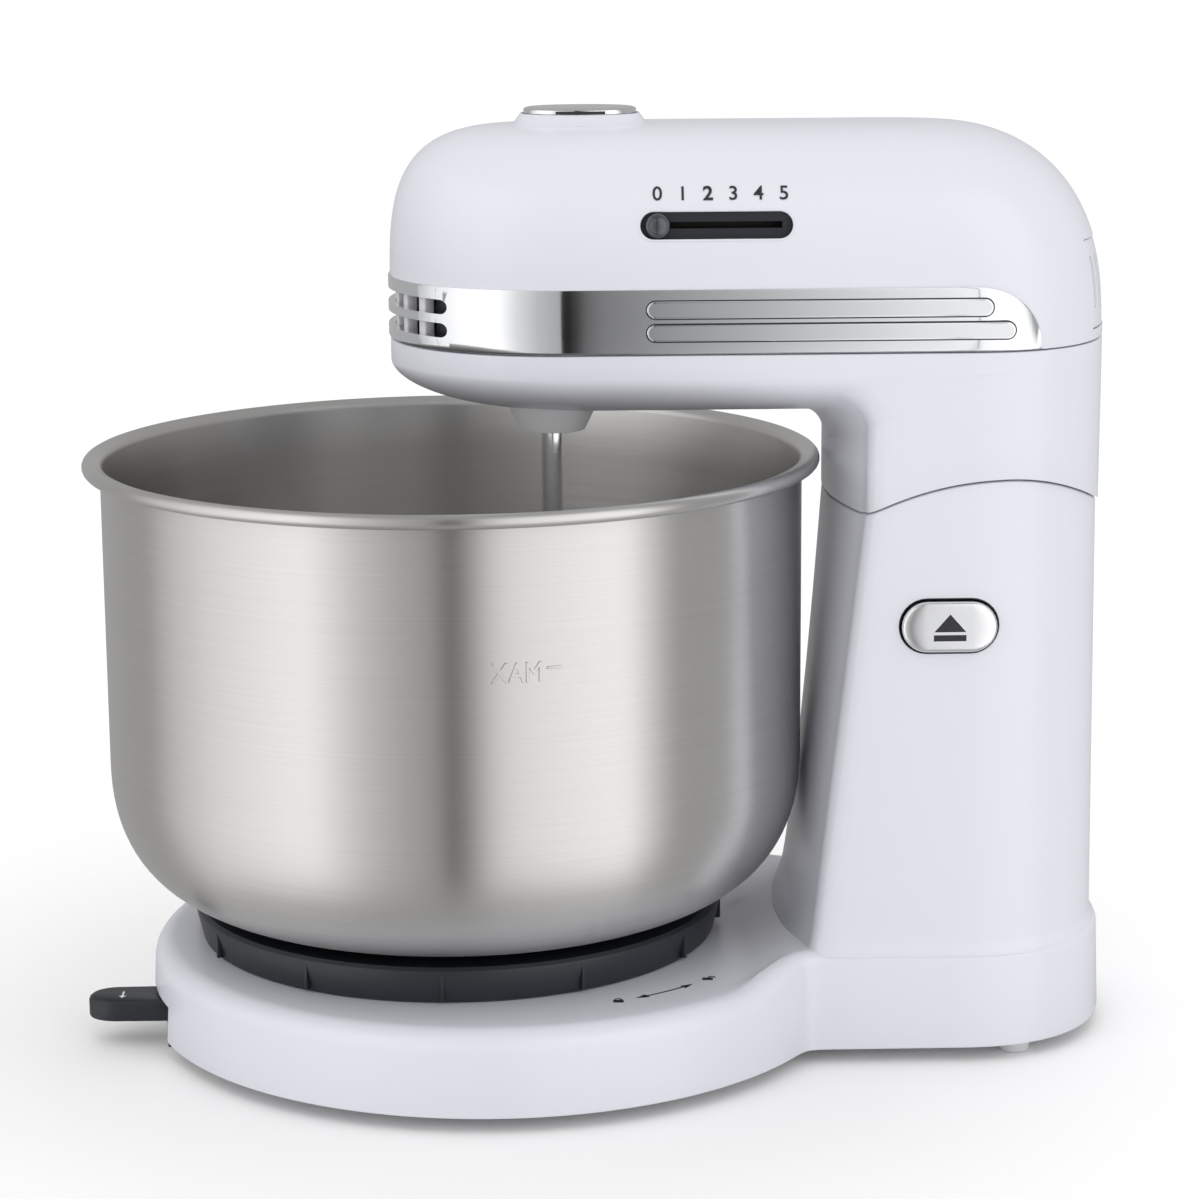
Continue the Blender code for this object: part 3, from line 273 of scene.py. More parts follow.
GLOSS_WHITE = Finish("gloss_white_shell", Kind.MOULDED, (0.690, 0.700, 0.760), (0.710, 0.720, 0.780),
                     (0.24, 0.28), grain=40.0, bump=0.0)
SATIN_WHITE = Finish("satin_white_moulding", Kind.MOULDED, (0.70, 0.705, 0.72), (0.74, 0.745, 0.76),
                     (0.36, 0.46), grain=900.0, bump=0.000004)
CHROME = Finish("bright_chrome_plate", Kind.PLATED, (0.80, 0.81, 0.83), (0.86, 0.87, 0.89),
                (0.05, 0.08), metallic=1.0, grain=120.0, bump=0.0)
SATIN_CHROME = Finish("satin_chrome_plate", Kind.PLATED, (0.88, 0.885, 0.90), (0.92, 0.925, 0.94),
                      (0.24, 0.26), metallic=1.0, grain=40.0, bump=0.0)
BOWL_STEEL = Finish("brushed_bowl_steel", Kind.BRUSHED, (0.60, 0.59, 0.575), (0.70, 0.69, 0.675),
                    (0.28, 0.36), metallic=1.0, grain=1500.0, bump=0.0000012, anisotropic=0.85)
PLAIN_STEEL = Finish("plain_turned_steel", Kind.BRUSHED, (0.42, 0.43, 0.45), (0.60, 0.61, 0.63),
                     (0.26, 0.40), metallic=1.0, grain=1800.0, bump=0.000006)
ANTHRACITE = Finish("anthracite_plastic", Kind.MOULDED, (0.010, 0.013, 0.019), (0.017, 0.021, 0.029),
                    (0.34, 0.46), grain=2200.0, bump=0.00003)
NYLON = Finish("natural_nylon", Kind.MOULDED, (0.66, 0.64, 0.57), (0.76, 0.74, 0.67), (0.42, 0.56),
               grain=1500.0, bump=0.00002)
FOOT_GREY = Finish("pale_foot_rubber", Kind.MOULDED, (0.60, 0.61, 0.64), (0.68, 0.69, 0.72),
                   (0.50, 0.66), grain=1500.0, bump=0.00002)
COPPER = Finish("machined_copper", Kind.BRUSHED, (0.60, 0.30, 0.16), (0.76, 0.42, 0.24),
                (0.24, 0.38), metallic=1.0, grain=1800.0)
CARBON = Finish("pressed_carbon", Kind.MOULDED, (0.018, 0.018, 0.018), (0.04, 0.04, 0.04),
                (0.55, 0.75), grain=3000.0, bump=0.00005)
BOARD = Finish("phenolic_board", Kind.MOULDED, (0.016, 0.015, 0.014), (0.030, 0.027, 0.024),
               (0.40, 0.55), grain=1200.0)
INK = Finish("printed_ink", Kind.PRINTED, (0.012, 0.013, 0.017), (0.026, 0.028, 0.034),
             (0.42, 0.55), grain=2000.0, bump=0.000004)
PALE_INK = Finish("pale_printed_ink", Kind.PRINTED, (0.70, 0.71, 0.73), (0.80, 0.81, 0.83),
                  (0.42, 0.55), grain=2000.0, bump=0.000004)
SLOT_BLACK = Finish("slot_black", Kind.MOULDED, (0.008, 0.010, 0.015), (0.012, 0.015, 0.021),
                    (0.50, 0.60), grain=300.0, bump=0.0)
SMOKED = Finish("smoked_knob", Kind.MOULDED, (0.030, 0.036, 0.046), (0.055, 0.062, 0.074),
                (0.08, 0.14), coat=1.0, grain=400.0, bump=0.000002)


# ---- modelling by operators -----------------------------------------------------------------
def deselect() -> None:
    """Leave nothing selected, so that an operator acts only on what comes next."""
    bpy.ops.object.select_all(action="DESELECT")


def take(piece: Piece) -> None:
    """Make a piece the only selected one and the active one."""
    deselect()
    piece.select_set(True)
    bpy.context.view_layer.objects.active = piece


def smooth(angle: float = SMOOTH_ANGLE) -> None:
    """Shade the selected piece smooth across edges flatter than an angle in degrees."""
    bpy.ops.object.shade_smooth_by_angle(angle=math.radians(angle))


def weld() -> None:
    """Merge doubled corners and turn the faces outwards, then leave edit mode."""
    bpy.ops.mesh.select_all(action="SELECT")
    bpy.ops.mesh.remove_doubles(threshold=MERGE)
    bpy.ops.mesh.normals_make_consistent(inside=False)
    bpy.ops.object.mode_set(mode="OBJECT")


def place_loop(piece: Piece, loop: Sequence[int], ring: Ring) -> None:
    """Set the corners of an edge loop to a ring of places.

    Args:
        piece: the piece, in edit mode.
        loop: numbers of the corners, in order.
        ring: a place in millimetres for each corner.
    """
    mesh = bmesh.from_edit_mesh(piece.data)
    mesh.verts.ensure_lookup_table()
    for index, spot in zip(loop, ring):
        mesh.verts[index].co = point(*spot)
    bmesh.update_edit_mesh(piece.data)


def grown_loop(piece: Piece, loop: Sequence[int]) -> list[int]:
    """Find the corners that an extrusion has just made, in the order of the loop it came from.

    Args:
        piece: the piece, in edit mode.
        loop: numbers of the corners that were extruded.

    Returns:
        Numbers of the new corners.
    """
    mesh = bmesh.from_edit_mesh(piece.data)
    mesh.verts.ensure_lookup_table()
    mesh.verts.index_update()
    grown = []
    for index in loop:
        corner = mesh.verts[index]
        ends = (edge.other_vert(corner) for edge in corner.link_edges)
        grown.append(next(end.index for end in ends if end.select))
    return grown


def close_loop(piece: Piece, loop: Sequence[int]) -> None:
    """Fill an edge loop with one face.

    Args:
        piece: the piece, in edit mode.
        loop: numbers of the corners.
    """
    bpy.ops.mesh.select_all(action="DESELECT")
    mesh = bmesh.from_edit_mesh(piece.data)
    mesh.verts.ensure_lookup_table()
    for index in loop:
        mesh.verts[index].select = True
    mesh.select_flush(True)
    bmesh.update_edit_mesh(piece.data)
    bpy.ops.mesh.edge_face_add()


def skin(name: str, rings: Sequence[Ring], capped: bool = True, angle: float = SMOOTH_ANGLE) -> Piece:
    """Model a body from a circle whose edge loop is extruded from ring to ring.

    Args:
        name: piece name.
        rings: closed rings of equal count, in millimetres.
        capped: fill the first and last ring.
        angle: edges flatter than this, in degrees, are shaded smooth.

    Returns:
        The new piece, with its place in its mesh.
    """
    deselect()
    bpy.ops.mesh.primitive_circle_add(vertices=len(rings[0]), radius=0.05)
    piece = bpy.context.object
    piece.name = name
    piece.data.name = name
    bpy.ops.object.mode_set(mode="EDIT")
    bpy.ops.mesh.select_mode(type="VERT")
    bpy.ops.mesh.select_all(action="SELECT")
    first = list(range(len(rings[0])))
    place_loop(piece, first, rings[0])
    loop = first
    for ring in rings[1:]:
        bpy.ops.mesh.extrude_edges_move()
        loop = grown_loop(piece, loop)
        place_loop(piece, loop, ring)
    if capped:
        for end in (first, loop):
            close_loop(piece, end)
    weld()
    smooth(angle)
    return piece


def apply(piece: Piece, kind: str, **settings: object) -> None:
    """Add a modifier to a piece and apply it.

    Args:
        piece: the piece.
        kind: modifier type, such as "SOLIDIFY".
        settings: values of the modifier.
    """
    take(piece)
    step = piece.modifiers.new(kind.lower(), kind)
    for setting, value in settings.items():
        setattr(step, setting, value)
    bpy.ops.object.modifier_apply(modifier=step.name)


def shape(piece: Piece, others: Iterable[Piece], operation: str = "DIFFERENCE",
          angle: float = SMOOTH_ANGLE, folds: bool = False) -> None:
    """Cut pieces from another, or join them to it, and use them up.

    Args:
        piece: the piece that stays.
        others: the pieces that are used up.
        operation: DIFFERENCE or UNION.
        angle: smooth shading angle of the result, in degrees.
        folds: allow for a piece that touches itself.
    """
    for other in others:
        apply(piece, "BOOLEAN", operation=operation, object=other, use_self=folds)
        bpy.data.objects.remove(other)
    take(piece)
    smooth(angle)


def thicken(piece: Piece, wall: float) -> None:
    """Give an open surface a wall under its outer face, in millimetres."""
    apply(piece, "SOLIDIFY", thickness=wall * MM, offset=-1.0, use_even_offset=True)


def joined(name: str, pieces: Sequence[Piece]) -> Piece:
    """Join pieces into one, which takes the given name.

    Args:
        name: name of the joined piece.
        pieces: the pieces, which are used up.

    Returns:
        The joined piece.
    """
    take(pieces[0])
    for piece in pieces[1:]:
        piece.select_set(True)
    bpy.ops.object.join()
    whole = bpy.context.object
    whole.name = name
    whole.data.name = name
    return whole


def dress(piece: Piece, finish: Finish, body: str,
          stands_for: Sequence[str] = ()) -> Piece:
    """Give a piece its finish, the body it rides on and the parts it stands for.

    Args:
        piece: the finished mesh.
        finish: its surface.
        body: the moving body that carries it.
        stands_for: working parts that it hides.

    Returns:
        The same piece.
    """
    piece.data.materials.clear()
    piece.data.materials.append(finish.material())
    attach(piece, body)
    if stands_for:
        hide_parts(*stands_for)
    LOG.info("%s: %d faces on %s", piece.name, len(piece.data.polygons), body)
    return piece


# ---- outlines -------------------------------------------------------------------------------
def disc(u: float, v: float, radius: float, count: int) -> Outline:
    """A round outline about a centre."""
    turns = (2 * math.pi * i / count for i in range(count))
    return [(u + radius * math.cos(a), v + radius * math.sin(a)) for a in turns]


def circle(radius: float, z: float, count: int, x: float = 0.0, y: float = 0.0) -> Ring:
    """A level circle."""
    return level(disc(x, y, radius, count), z)


def turned(name: str, profile: Outline, count: int, x: float = 0.0, y: float = 0.0,
           closed: bool = False) -> Piece:
    """Turn a profile of (radius, z) about an upright axis.

    Args:
        name: piece name.
        profile: the profile; a radius of 0 closes on the axis.
        count: sides round the axis.
        x: axis place.
        y: axis place.
        closed: the profile's end meets its start.

    Returns:
        The new piece.
    """
    line = profile + profile[:1] if closed else profile
    rings = [circle(max(radius, 0.0001), z, count, x, y) for radius, z in line]
    return skin(name, rings, capped=False)


def quarter(a: float, b: float, power: float, steps: int) -> Outline:
    """A quarter of a superellipse as offsets, from (a, 0) to (0, b).

    Args:
        a: reach along the first direction.
        b: reach along the second.
        power: 2 for an ellipse, more for a squarer one.
        steps: number of sides.

    Returns:
        The points, both ends included.
    """
    share = 2 / power
    turns = [math.pi / 2 * i / steps for i in range(steps)]
    return [(a * math.cos(t) ** share, b * math.sin(t) ** share) for t in turns] + [(0.0, b)]


def mirrored(half: Outline) -> Outline:
    """Close a half outline that runs from the rear to the nose on the +Y side."""
    return half + [(x, -y) for x, y in half[-2:0:-1]]


def inset(outline: Outline, depth: float) -> Outline:
    """Move a closed outline inwards along its own normals.

    Args:
        outline: the outline, counterclockwise.
        depth: how far, in millimetres.

    Returns:
        The moved outline, point for point.
    """
    points = np.array(outline)
    run = np.roll(points, -1, axis=0) - np.roll(points, 1, axis=0)
    run /= np.linalg.norm(run, axis=1)[:, None]
    moved = points + depth * np.stack([-run[:, 1], run[:, 0]], axis=1)
    return [(float(x), float(y)) for x, y in moved]


def level(outline: Outline, z: float) -> Ring:
    """Lift an outline to a height."""
    return [(x, y, z) for x, y in outline]


def share_left(t: float, power: float) -> float:
    """How much of a superellipse's reach is left at a share t of its height."""
    t = min(max(t, 0.0), 1.0)
    return (1 - t ** power) ** (1 / power)


def smooth_step(t: float) -> float:
    """Ease from 0 to 1."""
    t = min(max(t, 0.0), 1.0)
    return t * t * (3 - 2 * t)


def stadium(x: float, z: float, width: float, height: float, steps: int = 14) -> Outline:
    """Outline of a bar with round ends, as (x, z).

    Args:
        x: middle of the bar.
        z: middle of the bar.
        width: length with its round ends.
        height: diameter of the ends.
        steps: sides of each end.

    Returns:
        The outline.
    """
    radius = height / 2
    reach = width / 2 - radius
    points = []
    for side in (1, -1):
        for i in range(steps + 1):
            a = math.pi * (i / steps - 0.5)
            points.append((x + side * (reach + radius * math.cos(a)), z + side * radius * math.sin(a)))
    return points


def upright(outline: Outline, y: float) -> Ring:
    """Stand an outline of (x, z) up at a place along Y."""
    return [(x, y, z) for x, z in outline]


def signed_power(value: float, power: float) -> float:
    """Raise a value's size to a power and keep its sign."""
    return math.copysign(abs(value) ** power, value)


def oval(x: float, z: float, length: float, width: float, count: int = 72) -> Ring:
    """A level, slightly squarish oval.

    Args:
        x: its middle.
        z: its height.
        length: size along X.
        width: size along Y.
        count: number of corners.

    Returns:
        The ring.
    """
    power = 2 / 2.3
    ring = []
    for i in range(count):
        a = 2 * math.pi * i / count
        u = length / 2 * signed_power(math.cos(a), power)
        v = width / 2 * signed_power(math.sin(a), power)
        ring.append((x + u, v, z))
    return ring


def bar(name: str, low: Triple, high: Triple,
        round_off: float = 0.0) -> Piece:
    """A block between two corners, from a cube scaled in edit mode and bevelled.

    Args:
        name: piece name.
        low: lowest corner.
        high: highest corner.
        round_off: width of the bevel; 0 for none.

    Returns:
        The new piece.
    """
    deselect()
    centre = point(*((a + b) / 2 for a, b in zip(low, high)))
    bpy.ops.mesh.primitive_cube_add(size=1.0)
    block = bpy.context.object
    block.name = name
    bpy.ops.object.mode_set(mode="EDIT")
    bpy.ops.mesh.select_all(action="SELECT")
    bpy.ops.transform.resize(value=tuple((b - a) * MM for a, b in zip(low, high)))
    bpy.ops.transform.translate(value=centre)
    if round_off:
        bpy.ops.mesh.bevel(offset=round_off * MM, segments=3)
    bpy.ops.object.mode_set(mode="OBJECT")
    smooth()
    return block


def turn_about(piece: Piece, degrees: float, x: float, y: float) -> None:
    """Turn a piece's mesh about an upright axis.

    Args:
        piece: the piece.
        degrees: how far, counterclockwise from above.
        x: axis place.
        y: axis place.
    """
    pivot = point(x, y, 0.0)
    turn = Matrix.Rotation(math.radians(degrees), 4, "Z")
    piece.data.transform(Matrix.Translation(pivot) @ turn @ Matrix.Translation(-pivot))


def wire(name: str, path: Sequence[Vector], side: Vector, radius: float, closed: bool,
         flat: float = 1.0, count: int = 10) -> Piece:
    """A bent wire or flat blade that stays in one plane.

    Args:
        name: piece name.
        path: places in millimetres.
        side: normal of the plane that the wire lies in.
        radius: half its thickness in the plane.
        closed: the wire's end meets its start.
        flat: how many times wider it is across the plane.
        count: sides of the section.

    Returns:
        The new piece.
    """
    rings = []
    total = len(path)
    for i, spot in enumerate(path):
        ahead = path[(i + 1) % total] if closed or i < total - 1 else spot
        behind = path[i - 1] if closed or i > 0 else spot
        out = (ahead - behind).normalized().cross(side)
        ring = []
        for k in range(count):
            a = 2 * math.pi * k / count
            ring.append(tuple(spot + out * (radius * math.cos(a)) + side * (radius * flat * math.sin(a))))
        rings.append(ring)
    if closed:
        rings.append(rings[0])
    return skin(name, rings, capped=not closed)


def lettering(words: str, size: float, extrude: float, **settings: float) -> Piece:
    """Model lettering that lies flat, centred on the frame's origin.

    Args:
        words: what it says.
        size: size of the type in millimetres.
        extrude: half its thickness in millimetres.
        settings: other lengths of the text curve, in millimetres.

    Returns:
        The new piece.
    """
    deselect()
    bpy.ops.object.text_add()
    curve = bpy.context.object.data
    curve.body = words
    curve.align_x = "CENTER"
    for setting, value in {"size": size, "extrude": extrude, **settings}.items():
        setattr(curve, setting, value * MM)
    bpy.ops.object.convert(target="MESH")
    return bpy.context.object


# ---- base and column ------------------------------------------------------------------------
@dataclass
class Base:
    """The white base and column with the feet, the printed marks and the head release."""

    disc_x: float = 11.5
    disc_r: float = 105.6
    deck_z: float = 29.3
    rise: float = 5.0
    ramp: tuple[float, float] = (84.0, 104.0)
    block_half: float = 52.6
    hub_x: float = 60.0
    tail: float = 47.0
    skirt_z: float = 4.3
    draft: float = 0.9
    wall: float = 2.6
    column_half: float = 50.4
    column_rear: tuple[float, float] = (193.8, 192.6)
    lean_z: tuple[float, float] = (35.0, 165.0)
    tilt_x: float = 160.0
    tilt_z: float = 125.0
    tilt_r: float = 49.0
    seam_drop: float = 10.2
    seam_front_z: float = 163.6
    hub_hole_r: float = 30.6
    lever_slot_y: tuple[float, float] = (-38.5, 6.5)
    lever_slot_top_z: float = 15.6
    lever_y: float = -21.0
    lever_half: float = 7.2
    sign_r: float = 86.0

    def plan(self, count: int = 208) -> Outline:
        """Outline of the base: a round front blended into the block under the column.

        Args:
            count: number of points.

        Returns:
            The outline, counterclockwise.
        """
        rear_x = span("base_housing")[1].x
        tail_x = rear_x - self.tail
        offset = self.hub_x - self.disc_x
        points = []
        for i in range(count):
            a = 2 * math.pi * i / count
            c, s = math.cos(a), math.sin(a)
            disc = -offset * c + math.sqrt((offset * c) ** 2 + self.disc_r ** 2 - offset ** 2)
            rear = 10.0
            if c > 0:
                rear, far = 0.0, 200.0
                for _ in range(40):
                    middle = (rear + far) / 2
                    u = max(self.hub_x + middle * c - tail_x, 0.0) / self.tail
                    v = abs(middle * s) / self.block_half
                    rear, far = (middle, far) if u ** 2.2 + v ** 2.2 < 1 else (rear, middle)
            reach = (disc ** 40 + rear ** 40) ** (1 / 40)
            points.append((self.hub_x + reach * c, reach * s))
        return points

    def deck(self, x: float) -> float:
        """Height of the deck, which ramps up to the foot of the column."""
        return self.deck_z + self.rise * smooth_step((x - self.ramp[0]) / (self.ramp[1] - self.ramp[0]))

    def corner(self, x: float) -> float:
        """Rounding between skirt and deck: full round the disc, tighter under the column."""
        return 6.5 - 3.0 * smooth_step((x - 88.0) / 22.0)

    def build_shell(self) -> None:
        """The skirted base with the hole for the bowl seat and the slot for the shift lever."""
        edge = self.plan()
        rings = [level(inset(edge, 0.7), self.skirt_z), level(inset(edge, 0.2), self.skirt_z + 0.2)]
        rings.append(level(edge, self.skirt_z + 0.8))
        for i in range(10):
            a = math.pi / 2 * i / 9
            ring = []
            for k, (x, y) in enumerate(edge):
                r = self.corner(x)
                depth = self.draft + r * (1 - math.cos(a))
                ring.append((k, depth, self.deck(x) - r * (1 - math.sin(a))))
            insets = {round(d, 4): inset(edge, d) for d in {round(v[1], 4) for v in ring}}
            rings.append([(*insets[round(d, 4)][k], z) for k, d, z in ring])
        inner = rings[-1]
        for step in range(1, 19):
            part = 1 - step / 19
            flat = [(self.hub_x + (x - self.hub_x) * part, y * part) for x, y, _ in inner]
            rings.append([(x, y, self.deck(x)) for x, y in flat])
        rings.append([(self.hub_x, 0.0, self.deck(self.hub_x))] * len(edge))
        shell = skin("base_shell", rings, capped=False)
        thicken(shell, self.wall)
        hub = skin("cutter", [circle(self.hub_hole_r, z, 96) for z in (20.0, 40.0)])
        right, left = self.lever_slot_y
        slot = bar("cutter", (-112.0, right, 0.0), (-82.0, left, self.lever_slot_top_z))
        shape(shell, [hub, slot])
        dress(shell, GLOSS_WHITE, "base", ["base_housing"])
        # The two thin dark sheets on the lever slot's side walls are painted shade: they darken the cut
        # walls where the slot's inside lies in shade.
        top = self.lever_slot_top_z - 0.1
        ends = [bar("painted_shade_sheet", (-93.6, left - 0.2, 3.2), (-82.2, left - 0.04, top)),
                bar("painted_shade_sheet", (-86.6, right + 0.04, 3.2), (-82.2, right + 0.2, top))]
        dress(joined("lever_slot_painted_shade", ends), ANTHRACITE, "base")

    def seam(self, x: float) -> float:
        """Height of the arched joint between column and neck.

        Args:
            x: place along X.

        Returns:
            The height.
        """
        if x >= self.tilt_x:
            return self.tilt_z + math.sqrt(max(self.tilt_r ** 2 - (x - self.tilt_x) ** 2, 0.0))
        fall = self.seam_drop * ((self.tilt_x - x) / 41.0) ** 2
        return max(self.tilt_z + self.tilt_r - fall, self.seam_front_z)

    @staticmethod
    def tower(middle: float, corner: float, rear: float, half: float) -> Outline:
        """Plan of column or neck: bowed front, rounded corners, straight sides, round rear.

        Args:
            middle: the front's place on the middle line.
            corner: the front's place at its corners.
            rear: the rear's place.
            half: half the width.

        Returns:
            The plan.
        """
        tail, fillet = 43.0, 5.0
        back = [(rear - tail + u, v) for u, v in quarter(tail, half, 2.2, 26)]
        sides = [(rear - tail + (corner + fillet - rear + tail) * i / 10, half) for i in range(1, 10)]
        turn = []
        for i in range(8):
            a = math.pi / 2 * i / 7
            turn.append((corner + fillet * (1 - math.sin(a)), half - fillet * (1 - math.cos(a))))
        width = half - fillet
        bow = [(middle + (corner - middle) * t * t, width * t) for t in (i / 14 for i in range(13, -1, -1))]
        return mirrored(back + sides + turn + bow)

    def column_plan(self, z: float) -> Outline:
        """Plan of the column at a height.

        Args:
            z: the height.

        Returns:
            The plan.
        """
        t = max(z - self.lean_z[0], 0.0) / (self.lean_z[1] - self.lean_z[0])
        rear = self.column_rear[0] + (self.column_rear[1] - self.column_rear[0]) * t
        return self.tower(98.2 + 13.5 * t ** 0.62, 104.4 + 15.0 * t, rear, self.column_half)

    def build_column(self) -> None:
        """The column from the shoulder on the base up to its arched crown."""
        crown = self.column_plan(self.lean_z[1])
        rings = []
        for z, flare in ((32.4, 1.1), (33.6, 1.1), (34.3, 0.75), (35.2, 0.3), (36.6, 0.0)):
            rings.append(level(inset(self.column_plan(35.0), -flare), z))
        foot_z, steps = 36.6, 30
        for i in range(1, steps + 1):
            ring = []
            for k, (x, _) in enumerate(crown):
                top = self.seam(x) - 0.5
                z = foot_z + (top - foot_z) * i / steps
                ring.append((*self.column_plan(z)[k], z))
            rings.append(ring)
        rim = rings[-1]
        rim_plan = [(x, y) for x, y, _ in rim]
        for depth, drop in ((0.12, 0.22), (0.5, 0.0)):
            rings.append([(x, y, self.seam(x) - drop) for x, y in inset(rim_plan, depth)])
        last = rings[-1]
        for i in range(1, 9):
            rings.append([(x, y * (1 - i / 8), self.seam(x)) for x, y, _ in last])
        column = skin("column_shell_skin", rings, capped=False)
        thicken(column, self.wall)
        tools = []
        for side in (-1, 1):
            y0, y1 = sorted((side * 12.6, side * 19.4))
            tools.append(bar("cutter", (138.0, y0, 157.0), (187.0, y1, 190.0)))
        x, z, width, height = self.release()
        window = stadium(x, z, width + 1.7, height + 1.7)
        tools.append(skin("cutter", [upright(window, -60.0), upright(window, -44.0)]))
        tools.append(wire("cutter", [Vector((180.0, 0.0, 58.0)), Vector((205.0, 0.0, 58.0))],
                          Vector((0.0, 0.0, 1.0)), 6.0, False, count=32))
        shape(column, tools)
        dress(column, GLOSS_WHITE, "base", ["column_shell"])

    @staticmethod
    def release() -> tuple[float, float, float, float]:
        """Centre and size of the release button: x, z, width, height."""
        low, high = span("release_button")
        return (low.x + high.x) / 2, (low.z + high.z) / 2, high.x - low.x, high.z - low.z

    def build_release(self) -> None:
        """Chromed release button in its dark well, with the printed release sign."""
        x, z, width, height = self.release()
        lips = ((3.0, -46.0), (1.6, -46.0), (1.6, -50.1), (0.9, -50.1), (0.9, -45.4), (3.0, -45.4),
                (3.0, -46.0))
        well = [upright(stadium(x, z, width + grow, height + grow), y) for grow, y in lips]
        ring = skin("release_well", well, capped=False)
        dress(ring, ANTHRACITE, "base", ["release_bezel"])
        front = span("release_button")[0].y
        faces = ((0.0, 5.6), (0.0, 1.3), (0.15, 0.85), (0.5, 0.55), (1.1, 0.36), (2.2, 0.2), (3.6, 0.09),
                 (5.2, 0.03), (7.1, 0.0))
        rings = [upright(stadium(x, z, width - 2 * trim, height - 2 * trim), front + back)
                 for trim, back in faces]
        key = skin("release_key", rings, angle=50.0)
        stem = wire("stem", [Vector((136.0, -47.8, z)), Vector((136.0, -40.3, z))],
                    Vector((0.0, 0.0, 1.0)), 3.0, False, count=24)
        key = joined("release_key", [key, stem])
        dress(key, SATIN_CHROME, "release", ["release_button"])
        arrow = [(x - 4.6, z - 1.2), (x + 4.6, z - 1.2), (x + 0.1, z + 3.9), (x - 0.1, z + 3.9)]
        strip = [(x - 4.7, z - 3.9), (x + 4.7, z - 3.9), (x + 4.7, z - 2.1), (x - 4.7, z - 2.1)]
        marks = [skin("mark", [upright(line, front - 0.05), upright(line, front + 0.3)])
                 for line in (arrow, strip)]
        dress(joined("release_sign", marks), INK, "release")

    def build_feet(self) -> None:
        """Four tapered feet."""
        for name in ("front_left", "front_right", "rear_left", "rear_right"):
            low, high = span("foot_" + name)
            x, y, r = (low.x + high.x) / 2, (low.y + high.y) / 2, (high.x - low.x) / 2
            profile = [(0.0, 0.0), (r - 1.5, 0.0), (r - 0.9, 0.25), (r - 0.6, 0.9), (r, 5.2), (0.0, 5.2)]
            foot = turned("pad_" + name, profile, 48, x, y)
            dress(foot, FOOT_GREY, "base", ["foot_" + name])

    def build_marks(self) -> None:
        """Printed signs on the deck: locked, the way to turn, open."""
        low, high = self.deck_z + 0.01, self.deck_z + 0.09
        reach = self.sign_r

        def flat(outline: Outline) -> Piece:
            """One printed patch."""
            return skin("mark", [level(outline, low), level(outline, high)])

        def spot(degrees: float, radius: float) -> tuple[float, float]:
            """A place on the deck round the disc's centre."""
            a = math.radians(degrees)
            return self.disc_x + radius * math.cos(a), radius * math.sin(a)

        start, end = -62.0, -48.2
        turns = [start + 1.8 + (end - start - 3.6) * i / 12 for i in range(13)]
        arc = [spot(a, reach - 0.3) for a in turns] + [spot(a, reach + 0.3) for a in reversed(turns)]
        marks = [flat(arc)]
        for tip, back in ((start, start + 2.6), (end, end - 2.6)):
            marks.append(flat([spot(tip, reach), spot(back, reach - 1.3), spot(back, reach + 1.3)]))
        for centre, gape in ((-65.6, 0.0), (-43.6, 1.3)):
            x, y = spot(centre, reach - 0.5)
            case = ((-1.5, -1.7), (1.5, -1.7), (1.5, 0.5), (-1.5, 0.5))
            marks.append(flat([(x + u, y + v) for u, v in case]))
            turns = [math.pi * i / 10 for i in range(11)]
            bow = [(x + gape + 1.15 * math.cos(a), y + 0.4 + 1.5 * math.sin(a)) for a in turns]
            bow += [(x + gape + 0.7 * math.cos(a), y + 0.4 + 1.0 * math.sin(a)) for a in reversed(turns)]
            marks.append(flat(bow))
        dress(joined("deck_signs", marks), INK, "base")

    def build_lever(self) -> None:
        """Shift lever with its rounded grip and the arm that carries the seat."""
        low, high = span("bowl_shift_lever")
        tip_x, middle, half = low.x, self.lever_y, self.lever_half
        tip = [(tip_x + 9.0 - 9.0 * math.sin(a), middle - half * math.cos(a))
               for a in (math.pi * i / 20 for i in range(21))]
        grip = [(-87.0, middle + half)] + tip[::-1] + [(-87.0, middle - half)]
        layers = ((0.9, 7.6), (0.3, 7.8), (0.0, 8.4), (0.0, 12.9), (0.35, 13.7), (1.2, high.z - 0.05))
        body = skin("shift_lever_grip", [level(inset(grip, d), z) for d, z in layers], angle=40.0)
        arm_plan = [(-90.5, -27.0), (85.0, -9.0), (93.5, 0.0), (85.0, 9.0), (-90.5, -15.0)]
        arm = skin("arm", [level(arm_plan, 7.8), level(arm_plan, 12.4)])
        lever = joined("shift_lever_grip", [body, arm])
        dress(lever, ANTHRACITE, "carrier", ["bowl_shift_lever"])
        top = high.z - 0.02
        shaft = [(-101.9, -19.6), (-101.3, -19.6), (-101.3, -23.6), (-101.9, -23.6)]
        head = [(-102.7, -23.6), (-100.5, -23.6), (-101.6, -25.4)]
        marks = [skin("mark", [level(line, top - 0.1), level(line, top + 0.03)]) for line in (shaft, head)]
        dress(joined("shift_sign", marks), PALE_INK, "carrier")

    def build(self) -> None:
        """Build the whole base."""
        self.build_shell()
        self.build_column()
        self.build_release()
        self.build_feet()
        self.build_marks()
        self.build_lever()


